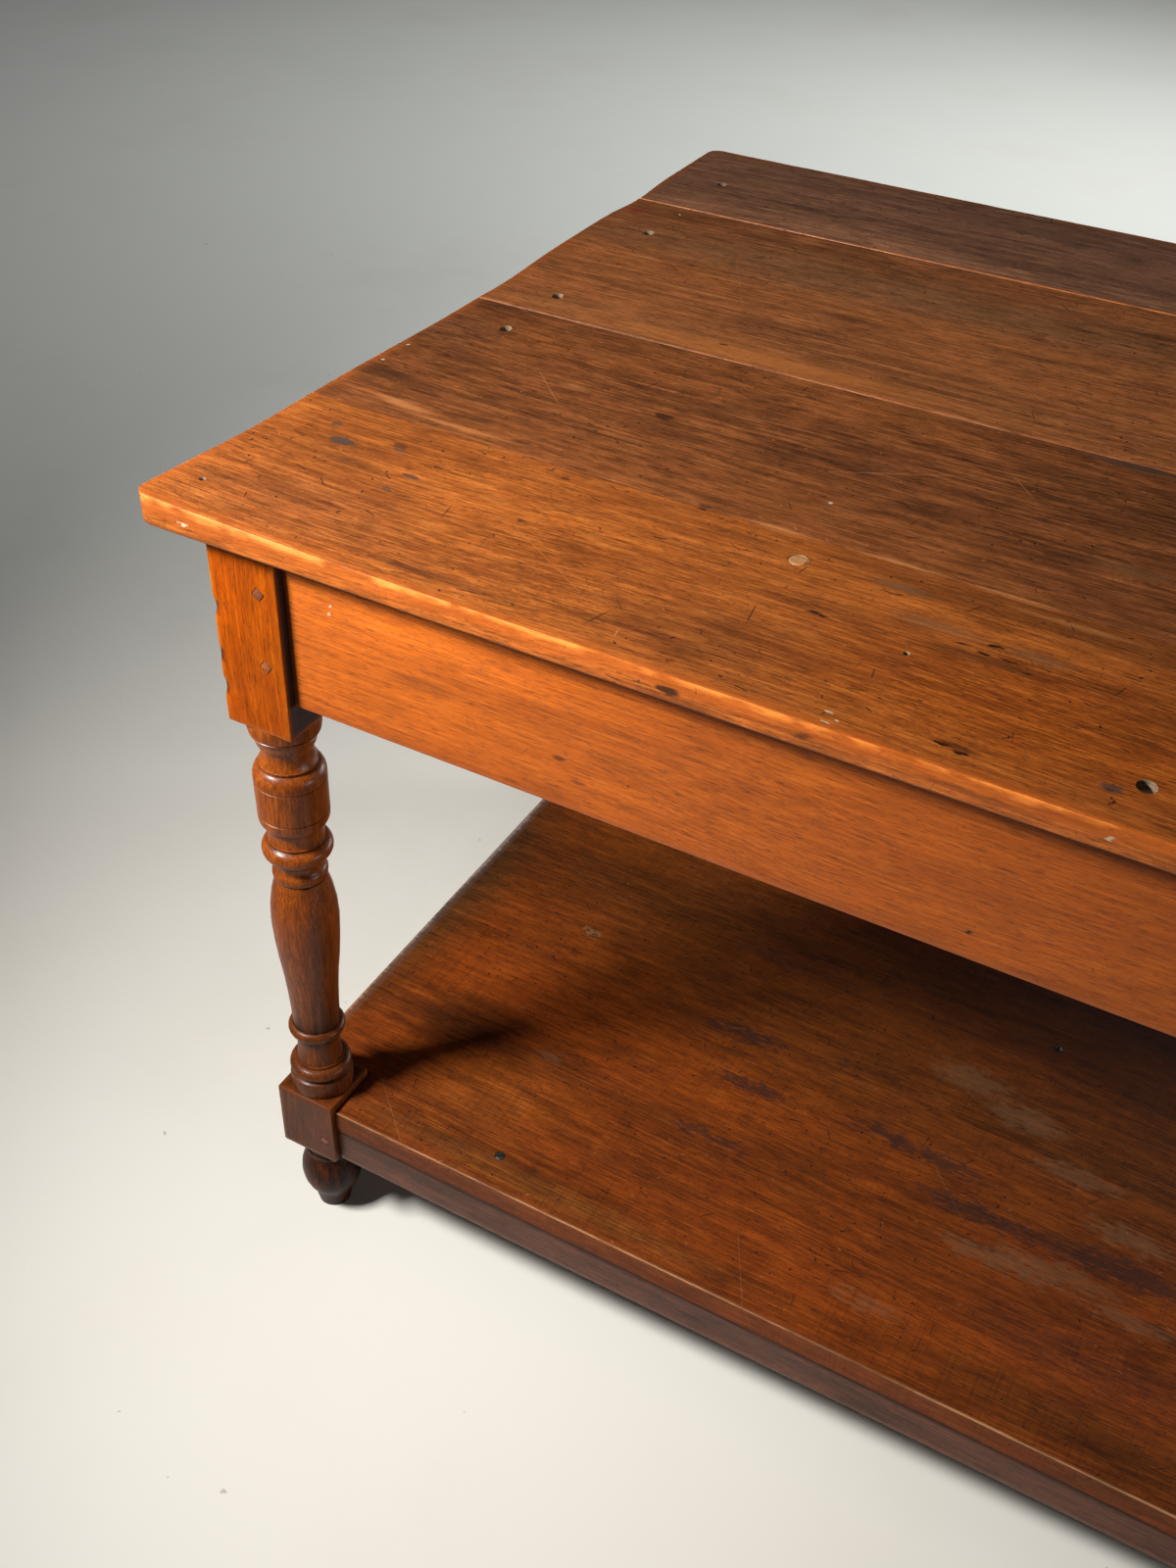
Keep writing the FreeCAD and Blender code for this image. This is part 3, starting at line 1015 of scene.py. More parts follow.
TOP_MARKS = (
    marks_on(TOP_LEVEL, GREYED, True, (
        (-0.488, -0.283, 0.034, 0.008, 0.6, 0.9), (-0.45, -0.315, 0.046, 0.01, 0.55, 0.9),
        (-0.384, -0.317, 0.036, 0.01, 0.5, 0.9), (-0.36, -0.18, 0.05, 0.012, 0.4, 0.9),
    ))
    + marks_on(TOP_LEVEL, RUBBED, True, (
        (-0.921, -0.233, 0.04, 0.007, 0.7, 0.8, -0.1), (-0.86, -0.243, 0.06, 0.004, 0.6, 0.8),
        (-0.821, -0.134, 0.018, 0.006, 0.5, 0.9), (-0.59, -0.255, 0.032, 0.005, 0.7, 0.8),
        (-0.499, -0.254, 0.044, 0.004, 0.65, 0.8), (-0.42, -0.256, 0.044, 0.004, 0.6, 0.8),
        (-0.373, -0.268, 0.07, 0.004, 0.5, 0.8), (-0.812, 0.397, 0.01, 0.0022, 0.9, 0.4),
    ))
    + marks_on(TOP_LEVEL, SMEAR, True, (
        (-0.905, -0.331, 0.03, 0.008, 0.4, 0.8), (-0.755, -0.434, 0.1, 0.006, 0.6, 0.9),
        (-0.42, -0.336, 0.055, 0.009, 0.5, 0.8), (-0.882, -0.292, 0.009, 0.005, 0.6, 0.6),
        (-0.84, -0.305, 0.015, 0.003, 0.55, 0.8), (-0.749, -0.34, 0.005, 0.003, 0.7, 0.5),
        (-0.753, -0.271, 0.005, 0.003, 0.7, 0.6), (-0.858, -0.225, 0.026, 0.009, 0.45, 0.9),
        (-0.809, -0.238, 0.012, 0.004, 0.6, 0.7), (-0.525, -0.342, 0.01, 0.0024, 0.75, 0.6),
        (-0.399, -0.432, 0.018, 0.003, 0.7, 0.6), (-0.602, -0.097, 0.022, 0.005, 0.55, 0.7),
        (-0.411, -0.112, 0.09, 0.022, 0.35, 1.0), (-0.647, -0.254, 0.008, 0.0024, 0.7, 0.6),
        (-0.754, 0.003, 0.008, 0.002, 0.8, 0.5), (-0.966, -0.195, 0.04, 0.02, 0.6, 0.9),
        (-0.737, -0.143, 0.011, 0.006, 0.8, 0.5), (-0.62, 0.05, 0.04, 0.005, 0.4, 0.9),
        (-0.52, 0.12, 0.06, 0.008, 0.4, 0.9), (-0.45, 0.22, 0.07, 0.008, 0.55, 0.9),
        (-0.85, 0.2, 0.03, 0.006, 0.3, 0.9),
    ))
    + marks_on(TOP_LEVEL, GOUGE, True, (
        (-0.431, -0.326, 0.008, 0.0016, 0.95, 0.6), (-0.416, -0.33, 0.007, 0.0022, 0.95, 0.6),
        (-0.412, -0.318, 0.005, 0.0024, 0.95, 0.6, 0.3), (-0.398, -0.33, 0.009, 0.0016, 0.95, 0.6, -0.1),
        (-0.386, -0.337, 0.006, 0.0014, 0.9, 0.6), (-0.406, -0.433, 0.008, 0.0016, 0.9, 0.6),
        (-0.395, -0.436, 0.007, 0.0022, 0.95, 0.6), (-0.375, -0.408, 0.006, 0.0011, 0.9, 0.6, 0.8),
        (-0.31, -0.425, 0.005, 0.0012, 0.9, 0.6, 0.2), (-0.306, -0.435, 0.0014, 0.006, 0.9, 0.6, 0.1),
        (-0.525, -0.342, 0.008, 0.0013, 0.9, 0.6, -0.1), (-0.649, -0.258, 0.006, 0.0015, 0.9, 0.6),
        (-0.491, -0.292, 0.01, 0.0012, 0.85, 0.6),
    ))
    + marks_on(TOP_LEVEL, SCAB, True, (
        (-0.924, -0.309, 0.012, 0.007, 0.85, 0.35), (-0.942, -0.288, 0.008, 0.0045, 0.7, 0.5),
        (-0.879, -0.297, 0.008, 0.004, 0.6, 0.5), (-0.849, -0.327, 0.01, 0.004, 0.8, 0.5),
        (-0.854, -0.352, 0.007, 0.004, 0.6, 0.6), (-0.309, -0.423, 0.01, 0.006, 0.75, 0.6),
        (-0.395, -0.0285, 0.06, 0.006, 0.75, 0.8),
    ))
    + marks_on(TOP_LEVEL, SPECK, True, (
        (-0.98, -0.174, 0.0018, 0.0018, 0.9, 0.3), (-0.978, -0.139, 0.0018, 0.0018, 0.9, 0.3),
        (-0.477, -0.438, 0.0024, 0.0011, 0.8, 0.4), (-0.475, -0.449, 0.0024, 0.0011, 0.8, 0.4),
        (-0.469, -0.445, 0.0018, 0.0011, 0.8, 0.4), (-0.575, -0.202, 0.0024, 0.0016, 0.9, 0.4),
    ))
    + marks_on(TOP_LEVEL, SMEAR, False, (
        (-0.721, -0.308, 0.0575, 0.0008, 0.5, 0.6, 0.45), (-0.8, -0.356, 0.0128, 0.0008, 0.75, 0.6, 1.73),
        (-0.644, -0.42, 0.0174, 0.0009, 0.8, 0.6, 1.27), (-0.468, -0.387, 0.0079, 0.0009, 0.7, 0.6, 1.75),
        (-0.561, -0.364, 0.0176, 0.0009, 0.7, 0.6, 1.73),
    ))
    + marks_on(TOP_LEVEL, SCRATCH, False, (
        (-0.547, -0.134, 0.078, 0.0006, 0.5, 0.6, 0.49), (-0.462, -0.103, 0.0285, 0.0006, 0.4, 0.6, -0.84),
        (-0.625, -0.43, 0.0072, 0.0007, 0.5, 0.6, 1.76), (-0.84, -0.145, 0.0456, 0.0006, 0.35, 0.6, -0.79),
        (-0.748, -0.011, 0.0478, 0.0006, 0.35, 0.6, -0.37),
    ))
)


def marks_between(low: float, high: float) -> tuple[Mark, ...]:
    """Pick the marks of the top that reach into a board between two places on Y."""
    return tuple(mark for mark in TOP_MARKS if low - mark.reach[1] < mark.at[1] < high + mark.reach[1])


FRONT_MARKS = shades_on(TOP_LEVEL, (
    (-0.35, -0.272, 0.32, 0.024, 0.8, 0.55, 0.55, 0.6), (-0.35, -0.38, 0.25, 0.1, 0.9, 1.12, 0.97, 0.6),
    (-0.9, -0.4, 0.14, 0.08, 0.9, 0.9, 0.93, 1.15),
)) + (
    Mark((0.0, -0.255, TOP_LEVEL), (2.0, 0.05, 0.01), tint(118, 66, 29), 0.16, 1.0),
    # This shade lightens the front edge of the front board: painted light where the edge faces the lamp,
    # over wood that wear has made paler.
    shade((-0.3, -0.4555, 0.789), (0.75, 0.004, 0.03), 0.5, (1.38, 1.28, 1.08)),
) + marks_facing(-0.455, SMEAR, (
    (-0.575, 0.789, 0.012, 0.0035, 0.9, 0.5), (-0.485, 0.789, 0.009, 0.0045, 0.7, 0.7),
    (-0.38, 0.789, 0.05, 0.003, 0.5, 0.9),
)) + marks_facing(-0.4555, SMEAR, (
    (-0.7, 0.788, 0.03, 0.003, 0.4, 0.9),
)) + marks_facing(-0.4555, SPECK, (
    (-0.955, 0.7905, 0.003, 0.0022, 0.9, 0.3), (-0.3, 0.79, 0.003, 0.0022, 0.9, 0.3),
)) + marks_between(-0.455, -0.255)
SECOND_MARKS = shades_on(TOP_LEVEL, (
    (-0.6, -0.09, 0.28, 0.09, 0.9, 1.28, 1.28, 1.25), (-0.97, -0.09, 0.08, 0.05, 0.9, 0.75, 0.85, 1.1),
)) + (
    Mark((0.0, -0.255, TOP_LEVEL), (2.0, 0.09, 0.01), tint(136, 72, 29), 0.15, 1.0),
) + marks_between(-0.255, -0.023)
THIRD_MARKS = shades_on(TOP_LEVEL, (
    (-0.7, 0.19, 0.6, 0.07, 0.9, 0.7, 0.86, 1.1), (-0.87, 0.0, 0.2, 0.05, 0.9, 0.8, 0.86, 0.95),
)) + (
    Mark((-0.964, 0.244, TOP_LEVEL), (0.014, 0.012, 0.01), tint(120, 34, 34), 0.5, 0.8),
    Mark((-0.7, -0.005, TOP_LEVEL), (0.3, 0.02, 0.01), tint(170, 100, 46), 0.5, 0.9),
) + marks_between(-0.023, 0.277)
BACK_MARKS = shades_on(TOP_LEVEL, (
    (-0.65, 0.29, 0.5, 0.035, 0.9, 1.35, 1.35, 1.3), (-0.65, 0.41, 0.5, 0.06, 0.9, 0.85, 0.9, 0.95),
)) + marks_between(0.277, 0.455)

TOP_WEAR = ((24, 11, 6), (146, 72, 26), (204, 124, 58))
TOP_LOOK = {"lined": 0.52, "pored": 0.5, "nicked": 0.9, "shine": 0.2, "coat": 0.05}
TOP_WOODS = (
    WoodFinish("front top board", Tones.of((173, 101, 42), (153, 81, 29), (98, 48, 18), *TOP_WEAR),
               shift=0.0, streaky=0.7, marks=FRONT_MARKS, **TOP_LOOK),
    WoodFinish("second top board", Tones.of((147, 87, 45), (119, 66, 31), (65, 35, 18), *TOP_WEAR),
               shift=3.7, scratched=0.4, grimy=0.5, marks=SECOND_MARKS, **TOP_LOOK),
    # The boards towards the back are made paler, partly to make up for the lamp's fall-off: painted light
    # over their own tone.
    WoodFinish("third top board", Tones.of((178, 112, 64), (150, 86, 44), (92, 54, 29), *TOP_WEAR),
               shift=8.3, marks=THIRD_MARKS, **TOP_LOOK),
    WoodFinish("back top board", Tones.of((167, 116, 82), (135, 89, 63), (88, 59, 44), *TOP_WEAR),
               shift=14.9, marks=BACK_MARKS, **TOP_LOOK),
)
APRON_TONES = Tones.of((179, 93, 24), (161, 78, 16), (129, 60, 13), (61, 26, 7),
                       (170, 83, 21), (197, 122, 53))
APRON_MARKS = (
    # These three are painted light and shade: the apron darkens towards its right end and its lower edge,
    # and is lighter at the top of its left end, as the lamp falls on it.
    Mark((0.15, -0.422, 0.69), (0.7, 0.1, 0.5), tint(96, 42, 10), 0.4, 1.0),
    shade((-0.75, -0.422, 0.745), (0.3, 0.05, 0.035), 0.9, (1.3, 1.3, 1.25)),
    shade((-0.7, -0.422, 0.63), (0.6, 0.05, 0.03), 0.9, (0.82, 0.78, 0.8)),
) + marks_facing(-0.422, SMEAR, (
    (-0.669, 0.676, 0.007, 0.003, 0.7, 0.6), (-0.653, 0.661, 0.006, 0.003, 0.5, 0.6),
    (-0.615, 0.674, 0.002, 0.0014, 0.8, 0.6), (-0.368, 0.657, 0.0024, 0.0024, 0.95, 0.6),
    (-0.577, 0.682, 0.006, 0.002, 0.5, 0.6), (-0.782, 0.696, 0.04, 0.009, 0.3, 0.6),
    (-0.447, 0.701, 0.012, 0.002, 0.35, 0.6),
)) + marks_facing(-0.422, SPECK, (
    (-0.858, 0.738, 0.0018, 0.0018, 0.9, 0.6), (-0.858, 0.731, 0.0018, 0.0014, 0.9, 0.6),
))
APRON_WOODS = {
    grain: WoodFinish(name, APRON_TONES, grain, shift, streaky=0.6, lined=0.48, pored=0.35, grimy=0.17,
                      scratched=0.05, nicked=0.3, rough=0.36, coat=0.05, shine=0.25, marks=APRON_MARKS)
    for grain, name, shift in ((Grain.ALONG_X, "long apron", 21.0), (Grain.ALONG_Y, "end apron", 23.0))
}
BLOCK_WOOD = WoodFinish(
    "leg block",
    Tones.of((164, 79, 3), (141, 59, 2), (95, 40, 2), (32, 14, 5), (149, 71, 7), (176, 107, 31)),
    Grain.ALONG_Z, 37.0, streaky=0.7, pored=0.4, grimy=0.2, scratched=0.1, nicked=0.3, coat=0.08,
    shine=0.12, rough=0.24,
)
LEG_WOOD = WoodFinish(
    "leg",
    Tones.of((158, 80, 20), (129, 61, 15), (85, 40, 10), (22, 10, 5), (141, 71, 22), (156, 88, 40)),
    Grain.ALONG_Z, 31.0, pored=0.4, grimy=0.3, scratched=0.1, nicked=0.3, coat=0.2, coat_rough=0.24,
    shine=0.12, rough=0.26,
)
# Painted shade: near black wood for the inner sides of the upper blocks beside the aprons, where the lamp
# doesn't reach.
SHADED_REVEAL_WOOD = WoodFinish(
    "painted shade on the inner side of a block",
    Tones.of((62, 28, 10), (44, 19, 8), (28, 13, 7), (14, 8, 6), (110, 54, 20), (160, 92, 44)),
    Grain.ALONG_Z, 39.0, rough=0.5, coat=0.0,
)
SHELF_MARKS = (
    # The shades below 1 darken the shelf where the lamp reaches it least: deep under the top, in the front
    # left leg's shadow, at the left end and to the front right. This is painted shade over old dark
    # varnish. The shades above 1 lighten and grey the wood's tone.
    shades_on(SHELF_LEVEL, (
        (-0.35, 0.12, 0.85, 0.46, 0.5, 0.58, 0.72, 0.9), (-0.3, 0.2, 0.55, 0.28, 0.8, 0.6, 0.5, 0.4),
        (-0.98, -0.1, 0.08, 0.3, 0.7, 0.5, 0.8, 1.5), (-0.15, -0.39, 0.3, 0.05, 0.8, 0.62, 0.75, 0.95),
        (-0.5, -0.325, 0.13, 0.035, 0.9, 1.5, 1.4, 1.0), (-0.8, -0.33, 0.13, 0.09, 0.9, 1.15, 1.35, 1.6),
        (-0.86, -0.26, 0.08, 0.05, 0.9, 0.5, 0.55, 0.6), (-0.7, -0.405, 0.3, 0.022, 0.8, 1.0, 1.35, 2.0),
    ))
    + marks_on(SHELF_LEVEL, SCUFF, True, (
        (-0.393, -0.081, 0.05, 0.022, 0.31, 0.5), (-0.334, -0.104, 0.05, 0.02, 0.31, 0.5),
        (-0.272, -0.146, 0.05, 0.014, 0.28, 0.5), (-0.309, -0.269, 0.07, 0.014, 0.31, 0.5),
        (-0.208, -0.189, 0.05, 0.016, 0.31, 0.5), (-0.388, -0.367, 0.04, 0.01, 0.25, 0.5),
        (-0.191, -0.272, 0.05, 0.012, 0.28, 0.5), (-0.759, -0.263, 0.022, 0.009, 0.25, 0.5),
        (-0.807, -0.09, 0.008, 0.004, 0.8, 0.4), (-0.257, -0.256, 0.07, 0.014, 0.25, 0.5),
    ))
    + marks_on(SHELF_LEVEL, STAIN, True, (
        (-0.623, -0.025, 0.09, 0.02, 0.43, 1.0), (-0.588, -0.273, 0.05, 0.009, 0.58, 0.5),
        (-0.509, -0.125, 0.014, 0.006, 0.6, 0.7), (-0.468, -0.118, 0.01, 0.005, 0.6, 0.7),
        (-0.698, -0.221, 0.06, 0.009, 0.29, 1.0), (-0.202, -0.332, 0.16, 0.046, 0.4, 1.0),
        (-0.609, -0.139, 0.05, 0.013, 0.65, 0.5), (-0.572, -0.198, 0.05, 0.012, 0.65, 0.5),
        (-0.441, -0.187, 0.03, 0.011, 0.65, 0.5), (-0.387, -0.191, 0.055, 0.011, 0.61, 0.5),
        (-0.336, -0.231, 0.08, 0.015, 0.65, 0.6), (-0.205, -0.226, 0.1, 0.021, 0.65, 0.6),
        (-0.49, -0.33, 0.05, 0.008, 0.25, 1.0), (-0.68, -0.34, 0.07, 0.008, 0.22, 1.0),
    ))
)
SHELF_TONES = Tones.of((148, 72, 16), (123, 54, 11), (69, 32, 8), (22, 11, 6),
                       (112, 76, 52), (178, 124, 80))
SHELF_WOODS = tuple(
    WoodFinish(name, SHELF_TONES, shift=shift, streaky=0.7, lined=0.38, pored=0.6, grimy=0.36,
               scratched=0.25, nicked=0.9, sawn=0.2, rough=0.44, coat=0.0, shine=0.08,
               fray=(0.07, 0.034, 0.02), marks=SHELF_MARKS)
    for name, shift in (("front shelf board", 41.0), ("middle shelf board", 44.6),
                        ("back shelf board", 47.9))
)
RAIL_TONES = Tones.of((138, 78, 44), (110, 58, 33), (76, 40, 22), (28, 16, 10),
                      (132, 78, 46), (164, 106, 70))
RAIL_MARKS = marks_facing(-0.4215, GOUGE, (
    (-0.59, 0.134, 0.009, 0.002, 0.8, 0.6), (-0.575, 0.137, 0.006, 0.003, 0.9, 0.6),
    (-0.555, 0.135, 0.008, 0.0016, 0.9, 0.6), (-0.609, 0.13, 0.014, 0.0012, 0.6, 0.6),
    (-0.348, 0.115, 0.02, 0.002, 0.4, 0.6),
))
RAIL_WOODS = {
    grain: WoodFinish(name, RAIL_TONES, grain, 53.0, streaky=0.7, grimy=0.5, scratched=0.1, rough=0.4,
                      coat=0.05, marks=RAIL_MARKS)
    for grain, name in ((Grain.ALONG_X, "long rail"), (Grain.ALONG_Y, "end rail"))
}
BEARER_WOOD = WoodFinish(
    "bearer",
    Tones.of((150, 108, 74), (124, 86, 58), (90, 60, 40), (44, 30, 22), (150, 108, 74), (176, 130, 92)),
    Grain.ALONG_Y, 61.0, rough=0.5, coat=0.0,
)
PEG_WOOD = WoodFinish(
    "peg",
    Tones.of((150, 82, 30), (118, 60, 22), (74, 36, 14), (34, 18, 10), (140, 80, 34), (160, 100, 50)),
    shift=67.0, streaky=0.8, rough=0.4,
)
PLUG_WOOD = WoodFinish(
    "plug",
    Tones.of((190, 140, 92), (172, 120, 74), (144, 96, 56), (100, 66, 38), (180, 130, 84),
             (196, 150, 104)),
    shift=71.0, streaky=0.4, grimy=0.1, scratched=0.0, nicked=0.0,
)
SCREW_STEEL = MetalFinish("screw steel", tint(210, 204, 194), tint(120, 110, 98))
SCREW_IRON = MetalFinish("dark screw iron", tint(56, 50, 45), tint(34, 29, 26), 0.4)
FLOOR_PAINT = FloorFinish("studio floor", tint(230, 226, 216), tint(214, 208, 196), tint(150, 140, 124))


@dataclass(frozen=True)
class Bore:
    """A round hole in the top of a board."""

    x: float
    y: float
    radius: float
    depth: float
    flare: float = 0.0004
    segments: int = 20

    def cutter(self, level: float) -> Mesh:
        """Give the shape that cuts the hole.

        Args:
            level: The height of the board's face.

        Returns:
            A closed mesh in place.
        """
        floor = level - self.depth
        lip = level - self.flare
        over = level + self.depth
        wide = self.radius + self.flare
        outline = [(0.0, floor), (self.radius, floor), (self.radius, lip), (wide, level), (wide, over),
                   (0.0, over)]
        bm = spin_outline(outline, self.segments)
        bmesh.ops.translate(bm, vec=(self.x, self.y, 0.0), verts=bm.verts)
        return bm

    def holds(self, place: Vector, level: float) -> bool:
        """Tell whether a point lies on the wall or floor of the hole."""
        aside = math.hypot(place.x - self.x, place.y - self.y)
        return aside < self.radius + self.flare / 2 and level - self.depth - TINY < place.z < level - TINY


def bore_all(bm: Mesh, bores: Iterable[Bore], level: float, bare: int) -> Mesh:
    """Cut round holes into a board and mark their bare wood.

    Args:
        bm: The board, which is freed.
        bores: The holes.
        level: The height of the board's face.
        bare: The material number for the wood in the holes.

    Returns:
        The board with its holes.
    """
    if not bores:
        return bm
    bm = work(bm, gathered(bore.cutter(level) for bore in bores), Joinery.CUT)
    for face in bm.faces:
        centre = face.calc_center_median()
        if any(bore.holds(centre, level) for bore in bores):
            face.material_index = bare
    return bm


@dataclass(frozen=True)
class Board:
    """One board of the top or the shelf: its number from the front, node, corners, sides and holes."""

    index: int
    node: str
    low: Vector
    high: Vector
    outer: tuple[float, ...]
    joints: tuple[float, ...]
    bores: tuple[Bore, ...]

    def rim(self, place: Vector) -> float:
        """Measure how far a point lies from the outside of the boards, seen from above."""
        sides = [abs(place.y - side) for side in self.outer]
        return min(sides + [place.x - self.low.x, self.high.x - place.x])

    def rise(self, place: Vector) -> float:
        """Tell how high a point lies on the board, from 0 at its bottom to 1 at its face."""
        return (place.z - self.low.z) / (self.high.z - self.low.z)


def lay_boards(nodes: tuple[str, ...], bores: Iterable[Bore]) -> list[Board]:
    """Work out where the boards of the top or the shelf lie, without their tongues.

    Args:
        nodes: The frame's nodes, from the front to the back.
        bores: The holes in all of the boards.

    Returns:
        The boards.
    """
    boxes = [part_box(node) for node in nodes]
    left = min(low.x for low, high in boxes)
    places = [boxes[0][0].y] + [high.y for low, high in boxes]
    boards = []
    for index, (node, box) in enumerate(zip(nodes, boxes)):
        low = Vector((left, places[index], box[0].z))
        high = Vector((box[1].x, places[index + 1], box[1].z))
        sides = ((low.y, index == 0), (high.y, index == len(nodes) - 1))
        outer = tuple(place for place, is_outer in sides if is_outer)
        joints = tuple(place for place, is_outer in sides if not is_outer)
        inside = tuple(bore for bore in bores if low.y < bore.y < high.y)
        boards.append(Board(index, node, low, high, outer, joints, inside))
    return boards


@dataclass
class TableTop:
    """The four planks of the top, with worn arrises, joints and screw holes."""

    nodes: tuple[str, ...] = ("top_board_front", "top_board_second", "top_board_third", "top_board_back")
    upper_round: float = 0.005
    under_round: float = 0.0035
    corner_round: float = 0.012
    joint_rounds: tuple[float, ...] = (0.0006, 0.0014, 0.0018)
    strip: float = 0.01
    rank: float = 0.024
    corner_segments: int = 5
    joint_segments: int = 2
    upper_segments: int = 8
    under_segments: int = 3
    arris_drop: float = 0.0004
    arris_band: Pair = (0.0002, 0.0007)
    end_extra: float = 0.1
    end_reach: float = 0.6
    chafe_mean: float = 0.85
    chafe_swing: float = 0.5
    chafe_least: float = 0.2
    chafe_long: Spot = (13.0, 13.0, 1.0)
    chafe_short: Spot = (60.0, 60.0, 1.0)
    wear_reach: float = 0.011
    joint_worn: float = 0.85
    joint_near: float = 0.001
    joint_reach: float = 0.0028
    joint_rise: Pair = (-0.3, 0.3)
    joint_start: Pair = (0.0, 0.1)
    face_wave: float = 0.0003
    face_stretch: Spot = (4.0, 14.0, 1.0)
    proud_plank: int = 2
    proud_rise: float = 0.0003
    proud_reach: float = 0.09
    curl_rise: float = 0.005
    curl_reach: float = 0.24
    rim_band: Pair = (0.44, 0.452)
    rim_sway: float = 0.0005
    rim_mean: float = 0.4
    rim_drop: float = 0.0004
    nibble_long: Spot = (7.0, 9.0, 30.0)
    nibble_short: Spot = (31.0, 9.0, 30.0)
    nibble_share: float = 0.4
    bore_radius: float = 0.006
    plug_gap: float = 0.0003
    end_line: tuple[Pair, ...] = (
        (-0.455, 0.0), (-0.416, 0.0015), (-0.392, 0.003), (-0.34, 0.0065), (-0.225, 0.0088),
        (-0.169, 0.0118), (-0.081, 0.0168), (-0.021, 0.018), (0.013, 0.0202), (0.11, 0.0162),
        (0.221, 0.0162), (0.262, 0.0215), (0.29, 0.021), (0.34, 0.0175), (0.455, 0.0172),
    )
    end_fade: float = 0.12
    nail_holes: tuple[Bore, ...] = (
        Bore(-0.9717, -0.4136, 0.0022, 0.004),
        Bore(-0.458, -0.3552, 0.0019, 0.004),
        Bore(-0.9424, 0.256, 0.0024, 0.004),
    )

    def build(self) -> None:
        """Build the four planks."""
        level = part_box(self.nodes[0])[1].z
        screws = islands("top_screws")
        deep = level - max(high.z for low, high in screws)
        middles = [(low + high) / 2 for low, high in screws]
        bores = [Bore(place.x, place.y, self.bore_radius, deep) for place in middles]
        low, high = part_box("top_plug")
        plug = (low + high) / 2
        bores.append(Bore(plug.x, plug.y, (high.x - low.x) / 2 + self.plug_gap, level - low.z))
        bores.extend(self.nail_holes)
        for board in lay_boards(self.nodes, bores):
            self.plank(board)

    def plank(self, board: Board) -> None:
        """Build one plank.

        Args:
            board: The plank's place.
        """
        low, high = board.low, board.high
        bm = cut_block(low, high)
        for side in board.outer:
            ease(bm, self.corner_edges(bm, board, side), self.corner_round, self.corner_segments)
        for joint in board.joints:
            number = board.index if joint == high.y else board.index - 1
            line = edges_on(bm, lambda co: abs(co.y - joint) < TINY and abs(co.z - high.z) < TINY)
            ease(bm, line, self.joint_rounds[number], self.joint_segments)
        for level, radius, segments in ((high.z, self.upper_round, self.upper_segments),
                                        (low.z, self.under_round, self.under_segments)):
            rim = [edge for edge in edges_on(bm, lambda co: abs(co.z - level) < TINY)
                   if self.on_rim(edge, board)]
            ease(bm, rim, radius, segments)
        slice_along(bm, 0, steps(low.x, high.x, self.strip))
        margins = (self.wear_reach, self.joint_reach)
        ranks = steps(low.y, high.y, self.rank)
        ranks += [place + sign * gap for place in (low.y, high.y) for sign in (-1, 1) for gap in margins]
        slice_along(bm, 1, [place for place in ranks if low.y < place < high.y])
        bm = bore_all(bm, board.bores, high.z, 1)
        paint_wear(bm, partial(self.rubbed, board), partial(self.sheltered, board))
        self.shape(bm, board)
        finishes = [TOP_WOODS[board.index].material(), RAW_WOOD.material()]
        finish_piece(board.node + "_plank", bm, finishes, [board.node])

    @staticmethod
    def corner_edges(bm: Mesh, board: Board, side: float) -> list[Edge]:
        """Find the two upright edges at an outer side of the top.

        Args:
            bm: The plank's mesh.
            board: The plank's place.
            side: The place of that side on Y.

        Returns:
            The edges.
        """
        found = []
        for end in (board.low.x, board.high.x):
            found += edges_on(bm, lambda co: abs(co.x - end) < TINY and abs(co.y - side) < TINY)
        return found

    def on_rim(self, edge: Edge, board: Board) -> bool:
        """Tell whether an edge of a plank's face lies on the outside of the top.

        Args:
            edge: An edge of the upper or lower face.
            board: The plank's place.

        Returns:
            Whether the edge is rounded with the rim.
        """
        first, second = (vert.co for vert in edge.verts)
        middle = (first + second) / 2
        at_end = min(abs(middle.x - board.low.x), abs(middle.x - board.high.x)) < self.corner_round
        at_side = any(abs(middle.y - side) < self.corner_round for side in board.outer)
        lengthways = abs(first.x - second.x) > self.corner_round
        return at_side or (at_end and not lengthways)

    def rubbed(self, board: Board, place: Vector) -> float:
        """Tell how worn a point of a plank is, most on the broken line along its arris.

        Args:
            board: The plank's place.
            place: A point on the plank.

        Returns:
            A share from 0 to about 1.
        """
        arris = 0.0
        if board.rim(place) < self.upper_round - TINY:
            ripples = ripple(place, self.chafe_long, 8.0) + ripple(place, self.chafe_short, 9.0)
            chafed = min(max(self.chafe_mean + self.chafe_swing * ripples, self.chafe_least), 1.0)
            left = board.low.x
            extra = self.end_extra * (1.0 - ease_step(place.x, left, left + self.end_reach))
            drop = abs(board.high.z - place.z - self.arris_drop)
            arris = (1.0 + extra) * chafed * (1.0 - ease_step(drop, *self.arris_band))
        return max([arris] + [self.joint_wear(board, place, joint) for joint in board.joints])

    @staticmethod
    def sheltered(board: Board, place: Vector) -> float:
        """Tell whether a point lies inside a joint, where it is dark."""
        return float(any(abs(place.y - joint) < 2 * TINY for joint in board.joints))

    def joint_wear(self, board: Board, place: Vector, joint: float) -> float:
        """Tell how rubbed a point beside a joint is, most at the joint farthest back.

        Args:
            board: The plank's place.
            place: A point on the plank.
            joint: The joint's place on Y.

        Returns:
            A share from 0 to 1.
        """
        near = math.hypot(place.y - joint, place.z - board.high.z)
        worst = ease_step(joint, *self.joint_rise) * ease_step(joint, *self.joint_start)
        return self.joint_worn * worst * (1.0 - ease_step(near, self.joint_near, self.joint_reach))

